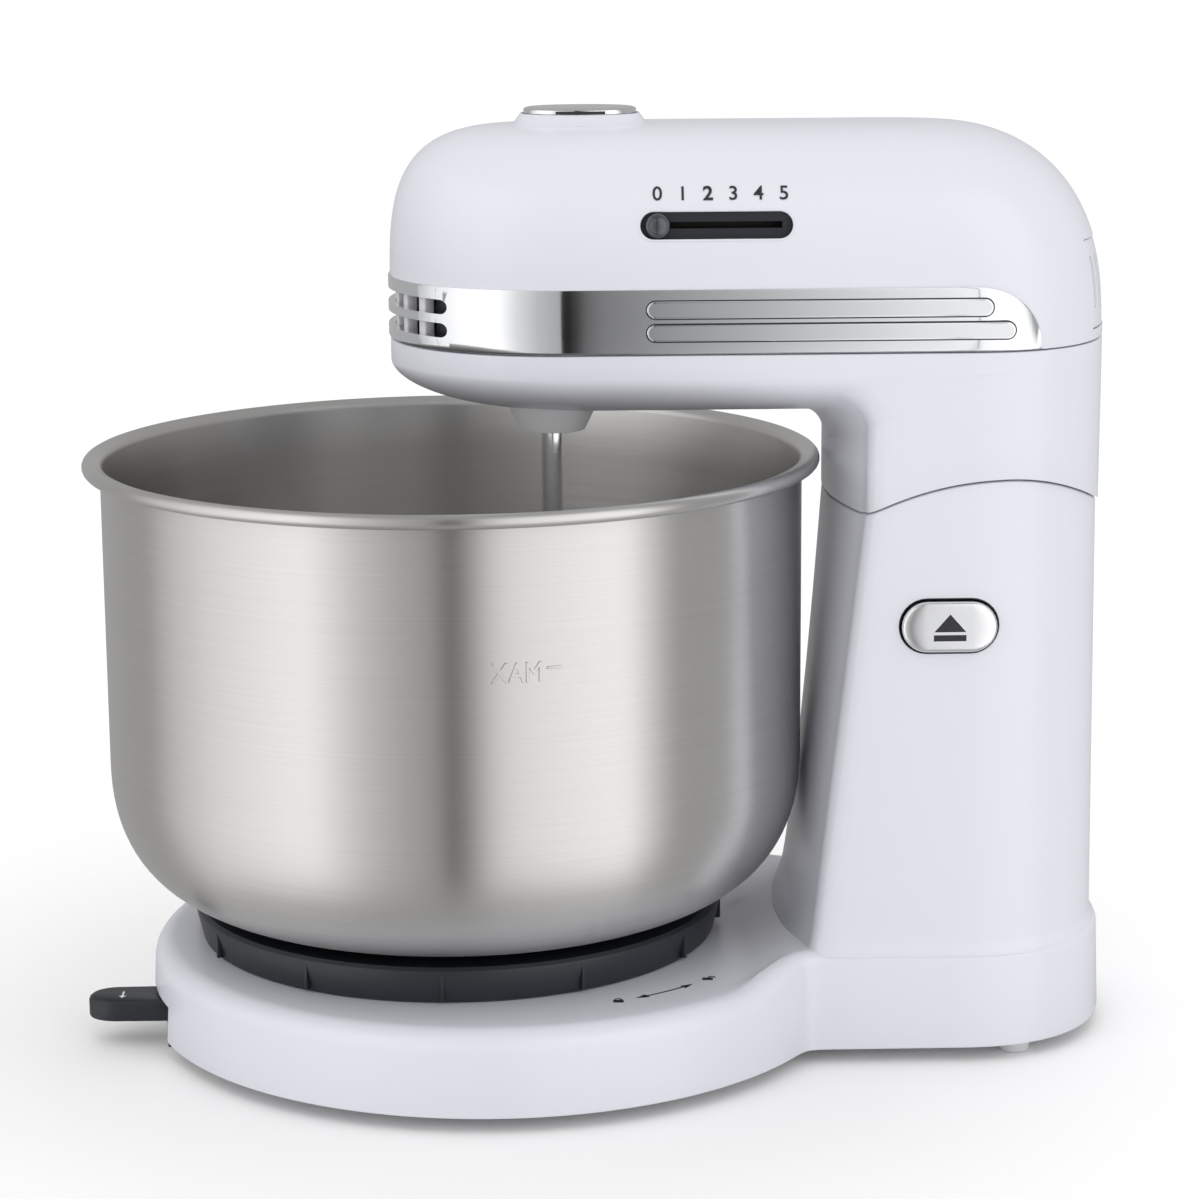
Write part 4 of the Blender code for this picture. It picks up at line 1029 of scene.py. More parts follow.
# ---- bowl -----------------------------------------------------------------------------------
@dataclass
class Bowl:
    """The brushed bowl with its rolled rim and the dark ring it stands on."""

    wall: float = 0.8
    side_r: float = 104.7
    floor_r: float = 60.0
    floor_z: float = 41.0
    curve_z: float = 86.0
    bead: float = 2.1
    sides: int = 224
    mark_size: float = 7.8
    mark_turn: float = -79.5
    mark_z: float = 129.4
    ribs: int = 12

    def curve(self, depth: float) -> Outline:
        """Profile under the outer face, from the floor out and up to the side.

        Args:
            depth: how far under the outer face.

        Returns:
            The profile, as (radius, z).
        """
        across, down = self.side_r - self.floor_r - depth, self.curve_z - self.floor_z - depth
        line = quarter(across, down, 2.4, 26)
        return [(self.floor_r + u, self.curve_z - v) for u, v in reversed(line)]

    def build_bowl(self) -> None:
        """Drawn bowl: outer face, rolled rim, inner face."""
        rim_z = span("mixing_bowl")[1].z - self.bead
        rim_r = span("mixing_bowl")[1].x - self.bead
        outer = [(0.0, self.floor_z), (30.0, self.floor_z)] + self.curve(0.0)
        outer += [(self.side_r, z) for z in (100.0, 120.0, 140.0, 160.0, 170.0)]
        outer += [(self.side_r + 0.1, rim_z - 2.6), (self.side_r + 0.7, rim_z - 2.0)]
        bead = []
        for degrees in range(-130, 131, 20):
            a = math.radians(degrees)
            bead.append((rim_r + self.bead * math.cos(a), rim_z + self.bead * math.sin(a)))
        inner_r = self.side_r - self.wall
        lip = [(inner_r + 1.1, rim_z + 1.2), (inner_r + 0.35, rim_z + 0.5), (inner_r, rim_z - 0.8)]
        inner = [(inner_r, z) for z in (160.0, 130.0, 100.0)] + self.curve(self.wall)[::-1]
        inner += [(30.0, self.floor_z + self.wall), (0.0, self.floor_z + self.wall)]
        bowl = turned("brushed_bowl", outer + bead + lip + inner, self.sides)
        dress(bowl, BOWL_STEEL, "bowl", ["mixing_bowl"])

    def build_level_mark(self) -> None:
        """Pressed fill mark, which reads from inside the bowl."""
        letters = lettering("MAX", self.mark_size, 0.3, bevel_depth=0.12)
        dash = bar("dash", (0.0, 0.0, -0.4), (5.0, 0.7, 0.4), 0.15)
        dash.data.transform(Matrix.Translation(-point(0.0, 0.0, 0.0)))
        dash.data.transform(Matrix.Translation(Vector((-14.6, 3.2, 0.0)) * MM))
        mark = joined("fill_mark", [letters, dash])
        middle = math.radians(self.mark_turn)
        for vertex in mark.data.vertices:
            along, up, out = vertex.co / MM
            a = middle - along * 0.86 / self.side_r
            r = self.side_r + out * 0.9
            vertex.co = point(r * math.cos(a), r * math.sin(a), self.mark_z + up)
        take(mark)
        bpy.ops.object.mode_set(mode="EDIT")
        weld()
        dress(mark, BOWL_STEEL, "bowl")

    def build_ring(self) -> None:
        """Dark foot ring with a bevelled top edge and twelve raised ribs."""
        low, high = span("bowl_foot_ring")
        base_r, top_r, bottom, top = high.x - 2.5, high.x, low.z, high.z
        profile = [(base_r, bottom), (base_r + 0.4, bottom + 0.3), (top_r, top - 1.6),
                   (top_r - 0.2, top - 0.9), (top_r - 1.2, top), (62.0, top), (62.0, top - 1.4),
                   (75.0, top - 1.4), (74.6, bottom)]
        ring = turned("foot_ring", profile, 180, closed=True)
        ribs = [ring]
        for i in range(self.ribs):
            rib = bar("rib", (78.4, -0.55, bottom + 0.8), (80.5, 0.55, top - 1.1), 0.25)
            turn_about(rib, -152.5 + 360.0 / self.ribs * i, 0.0, 0.0)
            ribs.append(rib)
        dress(joined("foot_ring", ribs), ANTHRACITE, "bowl", ["bowl_foot_ring"])

    def build(self) -> None:
        """Build the bowl and its ring."""
        self.build_bowl()
        self.build_level_mark()
        self.build_ring()


# ---- head -----------------------------------------------------------------------------------
@dataclass
class Head:
    """The tilting head: cover, underside with the neck, chrome band, vents and rear panel."""

    half: float = 52.0
    neck_half: float = 51.2
    neck_front: tuple[float, float] = (111.4, 119.5)
    split_z: float = 211.5
    belly_z: float = 190.5
    belly_edge_z: float = 205.0
    top_z: float = 273.8
    nose_x: float = -17.6
    rear_x: float = 193.4
    nose_round_x: float = 30.0
    tail_round_x: float = 140.0
    nose_spring_z: float = 224.0
    tail_spring_z: float = 214.0
    band_end_x: float = 169.3
    band_curve_x: float = 150.0
    vent_rows: tuple[tuple[float, float], ...] = ((215.6, 219.7), (222.3, 226.4))
    rib_rows: tuple[Triple, ...] = ((215.6, 220.4, 161.0), (222.1, 227.0, 154.6))
    rib_start_x: float = 56.6
    wall: float = 2.6
    slot_x: tuple[float, float] = (54.6, 98.2)
    slot_z: tuple[float, float] = (244.0, 252.1)
    panel_z: tuple[float, float] = (215.0, 241.0)
    seam_gap: float = 0.6
    boss_hole_r: float = 13.2
    neck_corner: float = 5.0

    def plan(self, front: float, rear: float, half: float, nose: float = 53.0,
             tail: float = 43.0) -> Outline:
        """Plan of the head: superellipse tail and nose joined by straight sides.

        Args:
            front: place of the nose.
            rear: place of the rear.
            half: half the width.
            nose: length of the rounded nose.
            tail: length of the rounded tail.

        Returns:
            The plan.
        """
        back = [(rear - tail + u, v) for u, v in quarter(tail, half, 2.2, 24)]
        sides = [(rear - tail + (front + nose - rear + tail) * i / 12, half) for i in range(1, 12)]
        face = [(front + nose - u, v) for u, v in reversed(quarter(nose, half, 2.1, 32))]
        return mirrored(back + sides + face)

    def cover_plan(self, z: float) -> Outline:
        """Plan of the top cover at a height; nose, sides and rear round over separately.

        Args:
            z: the height.

        Returns:
            The plan.
        """
        rise = (z - self.nose_spring_z) / (self.top_z - self.nose_spring_z)
        front = self.nose_round_x - (self.nose_round_x - self.nose_x) * share_left(rise, 3.5)
        tail_rise = (z - self.tail_spring_z) / (self.top_z - self.tail_spring_z)
        rear = self.tail_round_x + (self.rear_x - self.tail_round_x) * share_left(tail_rise, 2.4)
        share = share_left(rise, 3.2)
        return self.plan(front, rear, self.half * share, 53.0 * (0.3 + 0.7 * share),
                         43.0 * (0.35 + 0.65 * share))

    def side_y(self, z: float) -> float:
        """How far out the flat of the cover's side stands at a height."""
        return self.half * share_left((z - self.nose_spring_z) / (self.top_z - self.nose_spring_z), 3.2)

    def build_cover(self) -> None:
        """The domed cover, with the speed slot, the vent window, the button hole and the rear opening."""
        bottom = self.split_z + 0.3
        rings = [level(inset(self.cover_plan(bottom), trim), bottom + lift)
                 for trim, lift in ((0.5, 0.0), (0.12, 0.15))]
        heights = [bottom + 0.5, 214.0, 217.0, 220.5, self.nose_spring_z]
        for i in range(1, 40):
            a = math.pi / 2 * i / 40
            heights.append(self.nose_spring_z + (self.top_z - self.nose_spring_z) * math.sin(a) ** (2 / 3.2))
        rings += [level(self.cover_plan(z), z) for z in heights]
        last = rings[-1]
        for part in (0.5, 0.0):
            rings.append([(x, y * part, self.top_z) for x, y, _ in last])
        cover = skin("head_cover", rings, capped=False)
        thicken(cover, self.wall)
        slot = self.slot_line(0.0)
        window = skin("cutter", [level(self.nose_window(), 213.4), level(self.nose_window(), 229.0)])
        hole = skin("cutter", [oval(39.0, 262.0, 38.0, 29.6), oval(39.0, 290.0, 38.0, 29.6)])
        tools = [skin("cutter", [upright(slot, -70.0), upright(slot, -40.0)]), window, hole]
        tools.append(self.rear_panel("cutter", -4.0, 6.0, 0.0))
        shape(cover, tools)
        dress(cover, GLOSS_WHITE, "head", ["head_top_cover"])

    def slot_line(self, trim: float) -> Outline:
        """Outline of the speed slot, made smaller all round by trim."""
        (x0, x1), (z0, z1) = self.slot_x, self.slot_z
        return stadium((x0 + x1) / 2, (z0 + z1) / 2, x1 - x0 - 2 * trim, z1 - z0 - 2 * trim)

    @staticmethod
    def nose_window() -> Outline:
        """Plan of the opening behind the vents: everything ahead of their ends."""
        return [(-40.0, -70.0), (4.0, -70.0), (4.0, 70.0), (-40.0, 70.0)]

    def rear_panel(self, name: str, outer: float, inner: float, trim: float) -> Piece:
        """Curved panel let into the rear of the cover, between two depths under its surface.

        Args:
            name: piece name.
            outer: depth of its outer face.
            inner: depth of its inner face.
            trim: how much smaller it is all round.

        Returns:
            The new piece.
        """
        low, high = self.panel_z[0] + trim, self.panel_z[1] - trim
        rings = []
        for i in range(13):
            z = low + (high - low) * i / 12
            skin_line, back_line = (inset(self.cover_plan(z), depth) for depth in (outer, inner))
            reach = [k for k in range(-24, 25) if abs(skin_line[k][1]) < 34.0 - trim]
            line = [skin_line[k] for k in reach] + [back_line[k] for k in reversed(reach)]
            rings.append(level(line, z))
        # Some heights catch more points of the plan than others; a skin needs rings of equal count.
        count = min(len(ring) for ring in rings)
        return skin(name, [ring for ring in rings if len(ring) == count])

    def build_rear(self) -> None:
        """Rear vent panel with upright slots."""
        panel = self.rear_panel("rear_panel", 0.35, 2.7, 0.35)
        shape(panel, [bar("cutter", (150.0, i * 5.4 - 1.1, 221.0), (210.0, i * 5.4 + 1.1, 236.0))
                      for i in range(-5, 6)])
        dress(panel, GLOSS_WHITE, "head", ["rear_vent_cover"])

    def tub(self, z: float, depth: float = 0.0) -> Outline:
        """Plan of the underside at a height, rounding under to the belly line.

        Args:
            z: the height.
            depth: how far under the surface.

        Returns:
            The plan.
        """
        drop = (self.belly_edge_z - z) / (self.belly_edge_z - self.belly_z)
        front = self.nose_round_x - (self.nose_round_x - self.nose_x) * share_left(drop, 1.85)
        share = share_left(drop, 2.2)
        rear = self.rear_x if z >= self.belly_edge_z else 172.0
        return inset(self.plan(front, rear, self.half * share, 53.0 * (0.2 + 0.8 * share)), depth)

    def neck(self, base: Base, depth: float) -> Piece:
        """The neck above the arched seam, as a solid at a depth under its skin.

        Args:
            base: the base, whose column it stands on.
            depth: how far under the skin.

        Returns:
            The new piece.
        """
        plan = inset(base.tower(*self.neck_front, self.rear_x, self.neck_half), depth)
        rings = []
        gap = self.seam_gap

        def flush(x: float, y: float, z: float) -> Triple:
            """Let the neck widen until it is flush with the head's side."""
            spread = 1 + ((self.half - 0.05) / self.neck_half - 1) * smooth_step((z - 172.0) / 26.0)
            return x, y * spread, z

        for trim, lift in ((0.5, 0.0), (0.14, 0.16), (0.0, 0.5)):
            rings.append([(x, y, base.seam(x) + gap + lift - depth * 8) for x, y in inset(plan, trim)])
        foot = [base.seam(x) + gap + 0.5 for x, _ in plan]
        for i in range(1, 7):
            lift = (i / 6) ** 0.7
            rings.append([flush(x, y, z + (207.6 - depth - z) * lift) for (x, y), z in zip(plan, foot)])
        floor = [[(x, y * part, base.seam(x) + gap - depth * 8) for x, y, _ in rings[0]]
                 for part in (0.0, 0.25, 0.5, 0.75)]
        return skin("neck", floor + rings)

    def throat(self, radius: float = 11.0) -> Piece:
        """Concave corner between the belly and the bowed front of the neck.

        Args:
            radius: its radius.

        Returns:
            The new piece.
        """
        rings = []
        corner = self.neck_corner
        width = self.neck_half - corner
        turns = [math.radians(90 - 7.5 * k) for k in range(13)]
        for i in range(-40, 41):
            y = (self.half - 0.06) * math.sin(math.pi / 2 * i / 40)
            across = abs(y) / self.half * self.neck_half
            bow = (min(across, width) / width) ** 2
            front = self.neck_front[0] + (self.neck_front[1] - self.neck_front[0]) * bow
            beside = min(max(across - width, 0.0), corner)
            front += corner - math.sqrt(max(corner ** 2 - beside ** 2, 0.0))
            drop = (self.belly_edge_z - self.belly_z) * share_left(abs(y) / self.half, 2.2)
            under = self.belly_edge_z - drop
            hub_x, hub_z = front - radius + 0.25, under - radius + 0.25
            arc = [(hub_x + radius * math.cos(a), hub_z + radius * math.sin(a)) for a in turns]
            arc += [(front + 6.0, under - radius), (front + 6.0, under + 2.4), (arc[0][0], under + 2.4)]
            rings.append([(x, y, z) for x, z in arc])
        return skin("throat", rings)

    def build_underside(self, base: Base) -> None:
        """Belly and neck in one moulding, hollow, with holes for the spindles.

        Args:
            base: the base, whose column the neck meets.
        """
        outer, inner = [], []
        for i in range(30):
            a = math.pi / 2 * i / 30
            z = self.belly_edge_z - (self.belly_edge_z - self.belly_z) * math.sin(a)
            ring = self.tub(z)
            if i:
                ring = [(min(x, 170.0), y) for x, y in ring]
            outer.append(level(ring, z))
        top_plan = self.tub(self.split_z)
        lead = [level(inset(top_plan, trim), self.split_z - drop)
                for trim, drop in ((0.5, 0.0), (0.12, 0.15), (0.0, 0.5))]
        end = outer[-1]
        outer += [[(x, y * part, self.belly_z) for x, y, _ in end] for part in (0.66, 0.33, 0.0)]
        housing = skin("head_underside", lead + outer)
        shape(housing, [self.neck(base, 0.0), self.throat()], "UNION")
        for z in (self.split_z + 5.0, self.belly_edge_z + 0.5, 202.5, 198.5, 195.5, 194.0):
            low = self.belly_edge_z if z >= self.belly_edge_z else max(z - self.wall, self.belly_z + 0.5)
            ring = self.tub(low, self.wall)
            if z < self.belly_edge_z:
                ring = [(min(x, 165.0), y) for x, y in ring]
            inner.append(level(ring, z))
        tools = [skin("cutter", inner), self.neck(base, self.wall)]
        for label in ("right", "left"):
            x, y, _ = middle_of("spindle_boss_" + label)
            tools.append(skin("cutter", [circle(self.boss_hole_r, z, 64, x, y) for z in (180.0, 205.0)]))
        shape(housing, tools)
        dress(housing, GLOSS_WHITE, "head", ["head_lower_housing"])

    def strip(self, name: str, section: Callable[[float], Outline], stations: Sequence[float],
              end_x: float) -> Piece:
        """Sweep a section of (depth, z) round the head's outline.

        Args:
            name: piece name.
            section: gives the section at a place along X.
            stations: extra places along X, rear end first, on the straight sides.
            end_x: how far back the sweep reaches.

        Returns:
            The new piece.
        """
        outline = self.plan(self.nose_x, self.rear_x, self.half)
        depths = sorted({d for x in (end_x, self.nose_x) for d, _ in section(x)})
        lines = {d: inset(outline, d) for d in depths}
        kept = [k for k, (x, _) in enumerate(outline) if x < min(stations) - 0.2]
        rings = []
        for x in stations:
            rings.append([self.on_line(lines[d], x, 1.0, z) for d, z in section(x)])
        for k in kept:
            here = outline[k][0]
            rings.append([(*lines[d][k], z) for d, z in section(here)])
        for x in reversed(stations):
            rings.append([self.on_line(lines[d], x, -1.0, z) for d, z in section(x)])
        return skin(name, rings)

    @staticmethod
    def on_line(line: Outline, x: float, side: float, z: float) -> Triple:
        """The place on one side of an outline at a given x.

        Args:
            line: the outline.
            x: place along X.
            side: 1 for the left side, -1 for the right.
            z: the height.

        Returns:
            The place.
        """
        xs, ys = zip(*sorted(p for p in line if p[1] * side > 0))
        return x, float(np.interp(x, xs, ys)), z

    def build_band(self) -> None:
        """Chrome band with a rounded rear end, vents round the nose and raised ribs."""
        low, high = span("chrome_band")
        z0, z1 = low.z, high.z
        fall = z1 - z0 - 0.9

        def section(x: float) -> Outline:
            """Rounded section; its top falls in a quarter ellipse at the rear end."""
            t = max((x - self.band_curve_x) / (self.band_end_x - self.band_curve_x), 0.0)
            top = z1 - fall * (1 - math.sqrt(max(1 - t * t, 0.0)))
            r = min(0.7, (top - z0) / 2.3)
            return [(1.6, z0), (0.25, z0), (-0.3, z0 + 0.3 * r), (-0.5, z0 + r),
                    (-0.5, top - r), (-0.3, top - 0.3 * r), (0.25, top), (1.6, top)]

        reach = self.band_end_x - self.band_curve_x
        stations = [self.band_curve_x + reach * math.sin(math.radians(t)) for t in range(90, -1, -6)]
        band = self.strip("chrome_band_skin", section, stations, self.band_end_x)
        tools = []
        for bottom, top in self.vent_rows:
            radius = (top - bottom) / 2
            middle = (top + bottom) / 2
            ends = [-radius + radius * math.sin(math.radians(t)) for t in (88, 70, 52, 35, 18, 0)]

            def opening(x: float, middle: float = middle, radius: float = radius) -> Outline:
                """Height of a vent, with a round end."""
                t = min(max((x + radius) / radius, 0.0), 1.0)
                h = radius * math.sqrt(max(1 - t * t, 0.0)) + 0.02
                return [(6.0, middle - h), (-3.0, middle - h), (-3.0, middle + h), (6.0, middle + h)]

            tools.append(self.strip("cutter", opening, ends, 0.0))
        shape(band, tools, folds=True)
        dress(band, CHROME, "head", ["chrome_band"])
        self.build_ribs()
        self.build_vents(z0, z1)

    def build_ribs(self) -> None:
        """Two raised ribs on each side of the band, each in a painted dark shadow outline."""
        bars, shadows = [], []
        for bottom, top, end in self.rib_rows:
            for side in (-1, 1):
                x, z = (end + self.rib_start_x) / 2, (bottom + top) / 2
                width, height = end - self.rib_start_x, top - bottom
                layers = ((0.0, 51.6), (0.0, 52.85), (0.12, 53.0), (0.5, 53.1))
                rings = [upright(stadium(x, z, width - 2 * t, height - 2 * t), side * y) for t, y in layers]
                bars.append(skin("rib", rings, angle=12.0))
                # A dark stadium a little larger than each rib, just under it, is painted shadow round the
                # raised rib; it takes the dark ink finish, but it is not print.
                line = stadium(x, z, width + 0.7, height + 0.7)
                shadows.append(skin("shadow", [upright(line, side * 51.8), upright(line, side * 52.54)]))
        dress(joined("band_ribs", bars), CHROME, "head")
        dress(joined("band_rib_painted_shadows", shadows), INK, "head")

    def build_vents(self, z0: float, z1: float) -> None:
        """Dark backing inside the vents with pale upright slats before it.

        Args:
            z0: bottom of the band.
            z1: top of the band.
        """
        def backing(x: float) -> Outline:
            """A plain strip inside the band."""
            return [(6.2, z0 + 1.0), (5.2, z0 + 1.0), (5.2, z1 - 1.0), (6.2, z1 - 1.0)]

        back = self.strip("vent_backing", backing, [3.0], 3.0)
        dress(back, ANTHRACITE, "head", ["vent_grille"])
        line = inset(self.plan(self.nose_x, self.rear_x, self.half), 3.3)
        ys, xs = zip(*sorted((y, x) for x, y in line if x < 30.0))
        slats = []
        for i in range(-4, 5):
            slat = bar("slat", (-16.0, -1.7, z0 + 1.2), (-12.6, 1.7, z1 - 1.2), 0.5)
            y = i * 9.4
            x = float(np.interp(y, ys, xs))
            slope = float(np.interp(y + 1.0, ys, xs)) - x
            slat.data.transform(Matrix.Translation(-point(-14.3, 0.0, 0.0)))
            slat.data.transform(Matrix.Rotation(-math.atan(slope), 4, "Z"))
            slat.data.transform(Matrix.Translation(point(x, y, 0.0)))
            slats.append(slat)
        dress(joined("vent_slats", slats), SATIN_WHITE, "head")

    def build_bosses(self) -> None:
        """Pale conical collars round the two spindles."""
        for label in ("left", "right"):
            low, high = span("spindle_boss_" + label)
            x, y, r = (low.x + high.x) / 2, (low.y + high.y) / 2, (high.x - low.x) / 2
            profile = [(5.6, 186.1), (6.0, 185.95), (9.0, 185.95), (9.5, 186.1), (9.8, 186.6),
                       (r - 0.6, 191.6), (r - 0.1, 192.8), (r, 194.0), (r, 197.0), (5.6, 197.0)]
            collar = turned("collar_" + label, profile, 96, x, y, closed=True)
            dress(collar, SATIN_WHITE, "head", ["spindle_boss_" + label])

    def build(self, base: Base) -> None:
        """Build the whole head.

        Args:
            base: the base, whose column the neck meets.
        """
        self.build_cover()
        self.build_rear()
        self.build_underside(base)
        self.build_band()
        self.build_bosses()


# ---- controls -------------------------------------------------------------------------------
@dataclass
class Controls:
    """Speed slot with its scale and knob, and the beater button on its pedestal."""

    numerals: str = "012345"
    numeral_height: float = 3.7
    numeral_z: float = 255.1
    numeral_lift: float = 0.14
    bold_numeral: str = "2"

    def build_speed(self, head: Head) -> None:
        """Dark slot floor, pale rim, printed numerals and the smoked knob.

        Args:
            head: the head, which carries the slot.
        """
        steps = ((-1.4, -44.6), (-1.4, -45.6), (0.05, -45.6), (0.05, -48.6))
        floor = skin("speed_slot", [upright(head.slot_line(trim), y) for trim, y in steps])
        track = bar("cutter", (58.0, -60.0, 247.1), (95.0, -40.0, 249.0))
        shape(floor, [track])
        dress(floor, SLOT_BLACK, "head", ["speed_plate"])
        line = head.slot_line(-0.1)
        path = [Vector((x, -head.side_y(z) + 0.22, z)) for x, z in line]
        rim = wire("speed_rim", path, Vector((0.0, 1.0, 0.0)), 0.42, True, count=12)
        dress(rim, GLOSS_WHITE, "head")
        x, _, z = middle_of("speed_knob")
        self.build_numerals(head, x)
        front = span("speed_knob")[0].y
        layers = ((3.45, 3.0), (3.45, 1.0), (3.3, 0.55), (2.95, 0.35), (2.75, 0.55), (2.6, 0.6),
                  (2.0, 0.22), (1.2, 0.04), (0.4, 0.0))
        rings = [upright(disc(x, z, radius, 48), front + back) for radius, back in layers]
        knob = skin("slide_knob", rings, angle=60.0)
        stem = bar("stem", (x - 1.0, -48.9, z - 0.8), (x + 1.0, -42.6, z + 0.8))
        slider = bar("slider", (x - 3.5, -43.0, z - 3.0), (x + 3.5, -40.3, z + 3.0), 0.3)
        knob = joined("slide_knob", [knob, stem, slider])
        dress(knob, SMOKED, "speed_slider", ["speed_knob"])

    def build_numerals(self, head: Head, first_x: float) -> None:
        """Numerals printed along the slot, on the curve of the cover.

        Args:
            head: the head, whose cover they lie on.
            first_x: place of the first numeral.
        """
        step = (span("speed_plate")[1].x - 5.5 - first_x) / 5
        for i, digit in enumerate(self.numerals):
            weight = 0.13 if digit == self.bold_numeral else 0.05
            mark = lettering(digit, self.numeral_height / 0.7, 0.05, offset=weight)
            mark.name = "numeral_" + digit
            for vertex in mark.data.vertices:
                along, up, out = vertex.co / MM
                z = self.numeral_z + up
                y = -head.side_y(z) - self.numeral_lift - out
                vertex.co = point(first_x + step * i + along * 1.1, y, z)
            dress(mark, INK, "head")

    def build_button(self) -> None:
        """White pedestal and the chromed beater button with its dark window."""
        low, high = span("button_pedestal")
        x, length, width = (low.x + high.x) / 2, high.x - low.x, high.y - low.y
        top = span("eject_button")[1].z - 1.8
        layers = ((-2.4, 268.6), (-2.4, 272.6), (-2.0, 273.4), (-1.2, 274.1), (-0.2, 274.8), (0.8, 275.6),
                  (1.6, top - 0.7), (2.0, top - 0.3), (2.4, top), (3.1, top), (3.3, top - 0.4), (3.3, 269.0))
        rings = [oval(x, z, length - trim, width - trim) for trim, z in layers]
        pedestal = skin("button_pedestal_skin", rings + [rings[0]], capped=False)
        dress(pedestal, GLOSS_WHITE, "head", ["button_pedestal"])
        low, high = span("eject_button")
        length, width, top = high.x - low.x, high.y - low.y, high.z
        layers = ((0.0, 270.2), (0.0, top - 1.7), (-0.5, top - 1.6), (-0.5, top - 0.65), (0.0, top - 0.35),
                  (1.4, top - 0.12), (4.6, top), (12.0, top + 0.02))
        button = skin("beater_button", [oval(x, z, length - t, width - t) for t, z in layers], angle=50.0)
        stem = turned("stem", [(0.0, 251.3), (4.0, 251.3), (4.0, 270.6), (0.0, 270.6)], 32, x, 0.0)
        dress(joined("beater_button", [button, stem]), CHROME, "eject", ["eject_button"])

        def front_edge(grow: float, half: float) -> Outline:
            """The part of an oval round the button that faces the front."""
            ring = oval(x, top, length + grow, width + grow, 288)
            return sorted((u, v) for u, v, _ in ring if v < 0 and abs(u - x) < half)

        line = front_edge(0.7, 7.4) + front_edge(-2.0, 7.0)[::-1]
        window = skin("button_window", [level(line, top - 1.6), level(line, top - 0.8)])
        dress(window, INK, "eject")

    def build(self, head: Head) -> None:
        """Build all controls."""
        self.build_speed(head)
        self.build_button()


# ---- beaters --------------------------------------------------------------------------------
@dataclass
class Beaters:
    """Two chromed wire beaters."""

    wire_r: float = 0.8
    flat: float = 2.4
    stem_r: float = 3.0

    def build_one(self, label: str) -> None:
        """One beater: a stem with a groove, two crossed loops and a hub.

        Args:
            label: left or right.
        """
        low, high = span("beater_" + label)
        x, y = (low.x + high.x) / 2, (low.y + high.y) / 2
        bottom, top, reach = low.z, 140.0, 18.3
        r = self.stem_r
        hub = [(0.0, 1.6), (3.6, 1.6), (4.0, 2.2), (4.0, 6.0), (r, 8.0)]
        profile = [(radius, bottom + lift) for radius, lift in hub]
        profile += [(r, 212.0), (r - 0.6, 212.6), (r - 0.6, 214.4), (r, 215.0), (r, 224.4),
                    (r - 0.9, high.z), (0.0, high.z)]
        pieces = [turned("stem", profile, 40, x, y)]
        middle, tall = (top + bottom) / 2, (top - bottom) / 2 - 0.9
        for degrees in (45.0, 135.0):
            a = math.radians(degrees)
            along = Vector((math.cos(a), math.sin(a), 0.0))
            side = Vector((-math.sin(a), math.cos(a), 0.0))
            path = []
            for i in range(56):
                b = 2 * math.pi * i / 56
                u = reach * signed_power(math.cos(b), 0.5)
                path.append(Vector((x, y, middle + tall * signed_power(math.sin(b), 0.8))) + along * u)
            pieces.append(wire("loop", path, side, self.wire_r, True, self.flat, 12))
        dress(joined("whisk_" + label, pieces), CHROME, f"{label}_drive", ["beater_" + label])

    def build(self) -> None:
        """Build both beaters."""
        for label in ("left", "right"):
            self.build_one(label)


# ---- working parts that keep their shapes ---------------------------------------------------
class Works:
    """Finishes for the working parts that stay as they are."""

    finishes: dict[str, Finish] = {
        "white_satin": SATIN_WHITE,
        "steel": PLAIN_STEEL,
        "anthracite": ANTHRACITE,
        "nylon": NYLON,
        "copper": COPPER,
        "carbon": CARBON,
        "board": BOARD,
        "white_gloss": GLOSS_WHITE,
        "chrome": CHROME,
        "stainless": BOWL_STEEL,
    }

    def build(self) -> None:
        """Dress every working part by the record's material slot."""
        slots = {part["node"]: part["material_slot"] for part in frame["record"]["subparts"]}
        for name, piece in frame["nodes"].items():
            piece.data.materials.clear()
            piece.data.materials.append(self.finishes[slots[name]].material())
        self.squash_spring()

    @staticmethod
    def squash_spring() -> None:
        """Give the beater button's spring a mesh of its own."""
        spring = frame["nodes"]["eject_spring"]
        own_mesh(spring)


# ---- studio ---------------------------------------------------------------------------------
@dataclass(frozen=True)
class Panel:
    """An upright studio panel on a circle round the mixer.

    Attributes:
        name: piece name.
        azimuth: degrees to the right of the camera's side.
        width: width in metres.
        left: radiance at its left edge as the camera sees it; 0 is a black flag.
        right: radiance at its right edge.
        distance: distance from the mixer in metres.
    """

    name: str
    azimuth: float
    width: float
    left: float
    right: float
    distance: float = 1.5

    def build(self) -> None:
        """Add the panel, which shows only in what the mixer reflects."""
        deselect()
        a = math.radians(self.azimuth)
        out = Vector((math.sin(a), -math.cos(a), 0.0))
        bpy.ops.mesh.primitive_plane_add(size=1.0, location=out * self.distance + Vector((0.0, 0.0, 0.4)))
        panel = bpy.context.object
        panel.name = self.name
        panel.scale = (self.width, 3.2, 1.0)
        panel.rotation_mode = "QUATERNION"
        panel.rotation_quaternion = (-out).to_track_quat("Z", "Y")
        panel.visible_camera = False
        panel.visible_diffuse = False
        panel.visible_shadow = False
        panel.data.materials.append(self.card())

    def card(self) -> bpy.types.Material:
        """Glowing card whose radiance runs evenly from one side to the other."""
        made = bpy.data.materials.new(self.name)
        made.use_nodes = True
        tree = made.node_tree
        place = add_node(tree, "TexCoord", {}).outputs["Object"]
        across = add_node(tree, "SeparateXYZ", {"Vector": place}).outputs["X"]
        ramp = add_node(tree, "MapRange", {"Value": across, "From Min": -0.5, "From Max": 0.5,
                                           "To Min": self.right, "To Max": self.left})
        feed(tree, tree.nodes["Principled BSDF"], {
            "Base Color": (0.01, 0.01, 0.01, 1.0),
            "Roughness": 1.0,
            "Emission Color": (1.0, 1.0, 1.0, 1.0),
            "Emission Strength": ramp.outputs["Result"],
        })
        return made


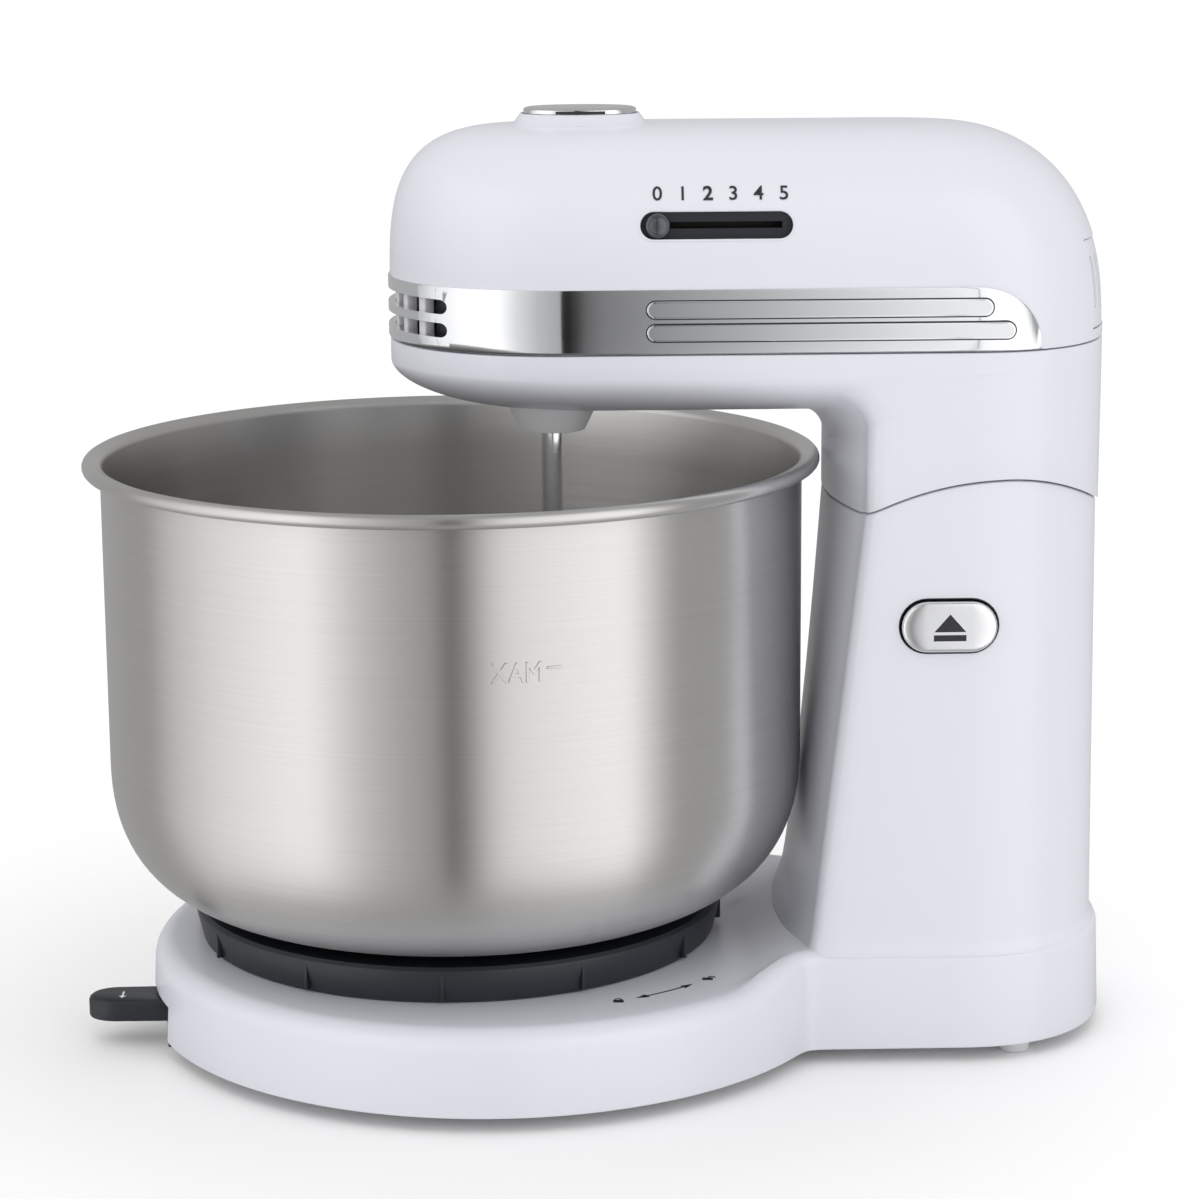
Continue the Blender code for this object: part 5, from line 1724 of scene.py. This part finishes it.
@dataclass
class Studio:
    """Camera, pale floor, soft light and the panels that the metal reflects."""

    camera_at: Triple = (-0.02125, -0.98650, 0.34092)
    yaw: float = 0.02298
    pitch: float = 0.21037
    roll: float = 0.00632
    lens: float = 100.0
    room: float = 1.10
    reflected_room: float = 0.44
    panels: tuple[Panel, ...] = (
        Panel("left_wing", -99.0, 0.48, 0.55, 0.95),
        Panel("left_softbox", -67.0, 1.24, 0.95, 1.45),
        Panel("left_edge", -37.5, 0.40, 1.35, 0.82),
        Panel("left_fade", -23.5, 0.34, 0.82, 0.56),
        Panel("left_shade", -10.5, 0.34, 0.56, 0.42),
        Panel("dark_flag", -2.1, 0.12, 0.0, 0.0),
        Panel("grey_card", 1.15, 0.06, 0.12, 0.26),
        Panel("right_shade", 4.0, 0.09, 0.26, 0.48),
        Panel("right_fade", 7.8, 0.11, 0.48, 0.85),
        Panel("right_edge", 11.8, 0.11, 0.85, 1.1),
        Panel("right_softbox", 37.0, 1.25, 1.1, 1.5),
        Panel("right_wing", 66.0, 0.32, 1.2, 0.5),
    )

    def build_camera(self) -> None:
        """Camera at its place, looking a little down."""
        data = bpy.data.cameras.new("studio_camera")
        data.lens = self.lens
        data.sensor_width = 36.0
        data.clip_end = 50.0
        camera = bpy.data.objects.new("studio_camera", data)
        bpy.context.scene.collection.objects.link(camera)
        cy, sy = math.cos(self.yaw), math.sin(self.yaw)
        cp, sp = math.cos(self.pitch), math.sin(self.pitch)
        forward = Vector((sy * cp, cy * cp, -sp))
        right = Vector((cy, -sy, 0.0))
        down = forward.cross(right)
        cr, sr = math.cos(self.roll), math.sin(self.roll)
        right_rolled = right * cr + down * sr
        down_rolled = down * cr - right * sr
        turn = Matrix((right_rolled, -down_rolled, -forward)).transposed()
        camera.matrix_world = Matrix.Translation(Vector(self.camera_at)) @ turn.to_4x4()
        bpy.context.scene.camera = camera

    def build_floor(self) -> None:
        """Plain pale floor."""
        deselect()
        bpy.ops.mesh.primitive_plane_add(size=16.0)
        floor = bpy.context.object
        floor.name = "studio_floor"
        pale = Finish("studio_paper", Kind.PRINTED, (0.95, 0.95, 0.95), (0.96, 0.96, 0.96), (0.9, 1.0),
                      grain=40.0, bump=0.00001)
        floor.data.materials.append(pale.material())
        floor.visible_glossy = False

    def build_light(self) -> None:
        """Soft light from above and in front, and a white room."""
        for name, place, size, power in (
            ("top_light", (0.1, 0.1, 1.9), 1.8, 1.0),
            ("front_light", (0.7, -1.5, 1.2), 1.2, 2.0),
        ):
            data = bpy.data.lights.new(name, "AREA")
            data.shape = "SQUARE"
            data.size = size
            data.energy = power
            light = bpy.data.objects.new(name, data)
            bpy.context.scene.collection.objects.link(light)
            light.location = place
            light.rotation_mode = "QUATERNION"
            aim = Vector((0.0, 0.0, 0.12)) - Vector(place)
            light.rotation_quaternion = aim.to_track_quat("-Z", "Y")
            light.visible_camera = False
            light.visible_glossy = False
        world = bpy.data.worlds.new("white_room")
        bpy.context.scene.world = world
        world.use_nodes = True
        tree = world.node_tree
        ray = add_node(tree, "LightPath", {}).outputs["Is Glossy Ray"]
        strength = add_node(tree, "MapRange", {"Value": ray, "To Min": self.room,
                                               "To Max": self.reflected_room})
        feed(tree, tree.nodes["Background"], {"Color": (1.0, 1.0, 1.0, 1.0),
                                              "Strength": strength.outputs["Result"]})

    def build(self) -> None:
        """Set the studio up."""
        bpy.context.scene.view_settings.view_transform = "Standard"
        self.build_camera()
        self.build_floor()
        self.build_light()
        for panel in self.panels:
            panel.build()


def main() -> None:
    """Build the studio and the mixer in order."""
    logging.basicConfig(level=logging.INFO, format="%(name)s: %(message)s")
    Works().build()
    Studio().build()
    base, head = Base(), Head()
    base.build()
    Bowl().build()
    head.build(base)
    Controls().build(head)
    Beaters().build()
    deselect()


if __name__ == "__main__":
    main()
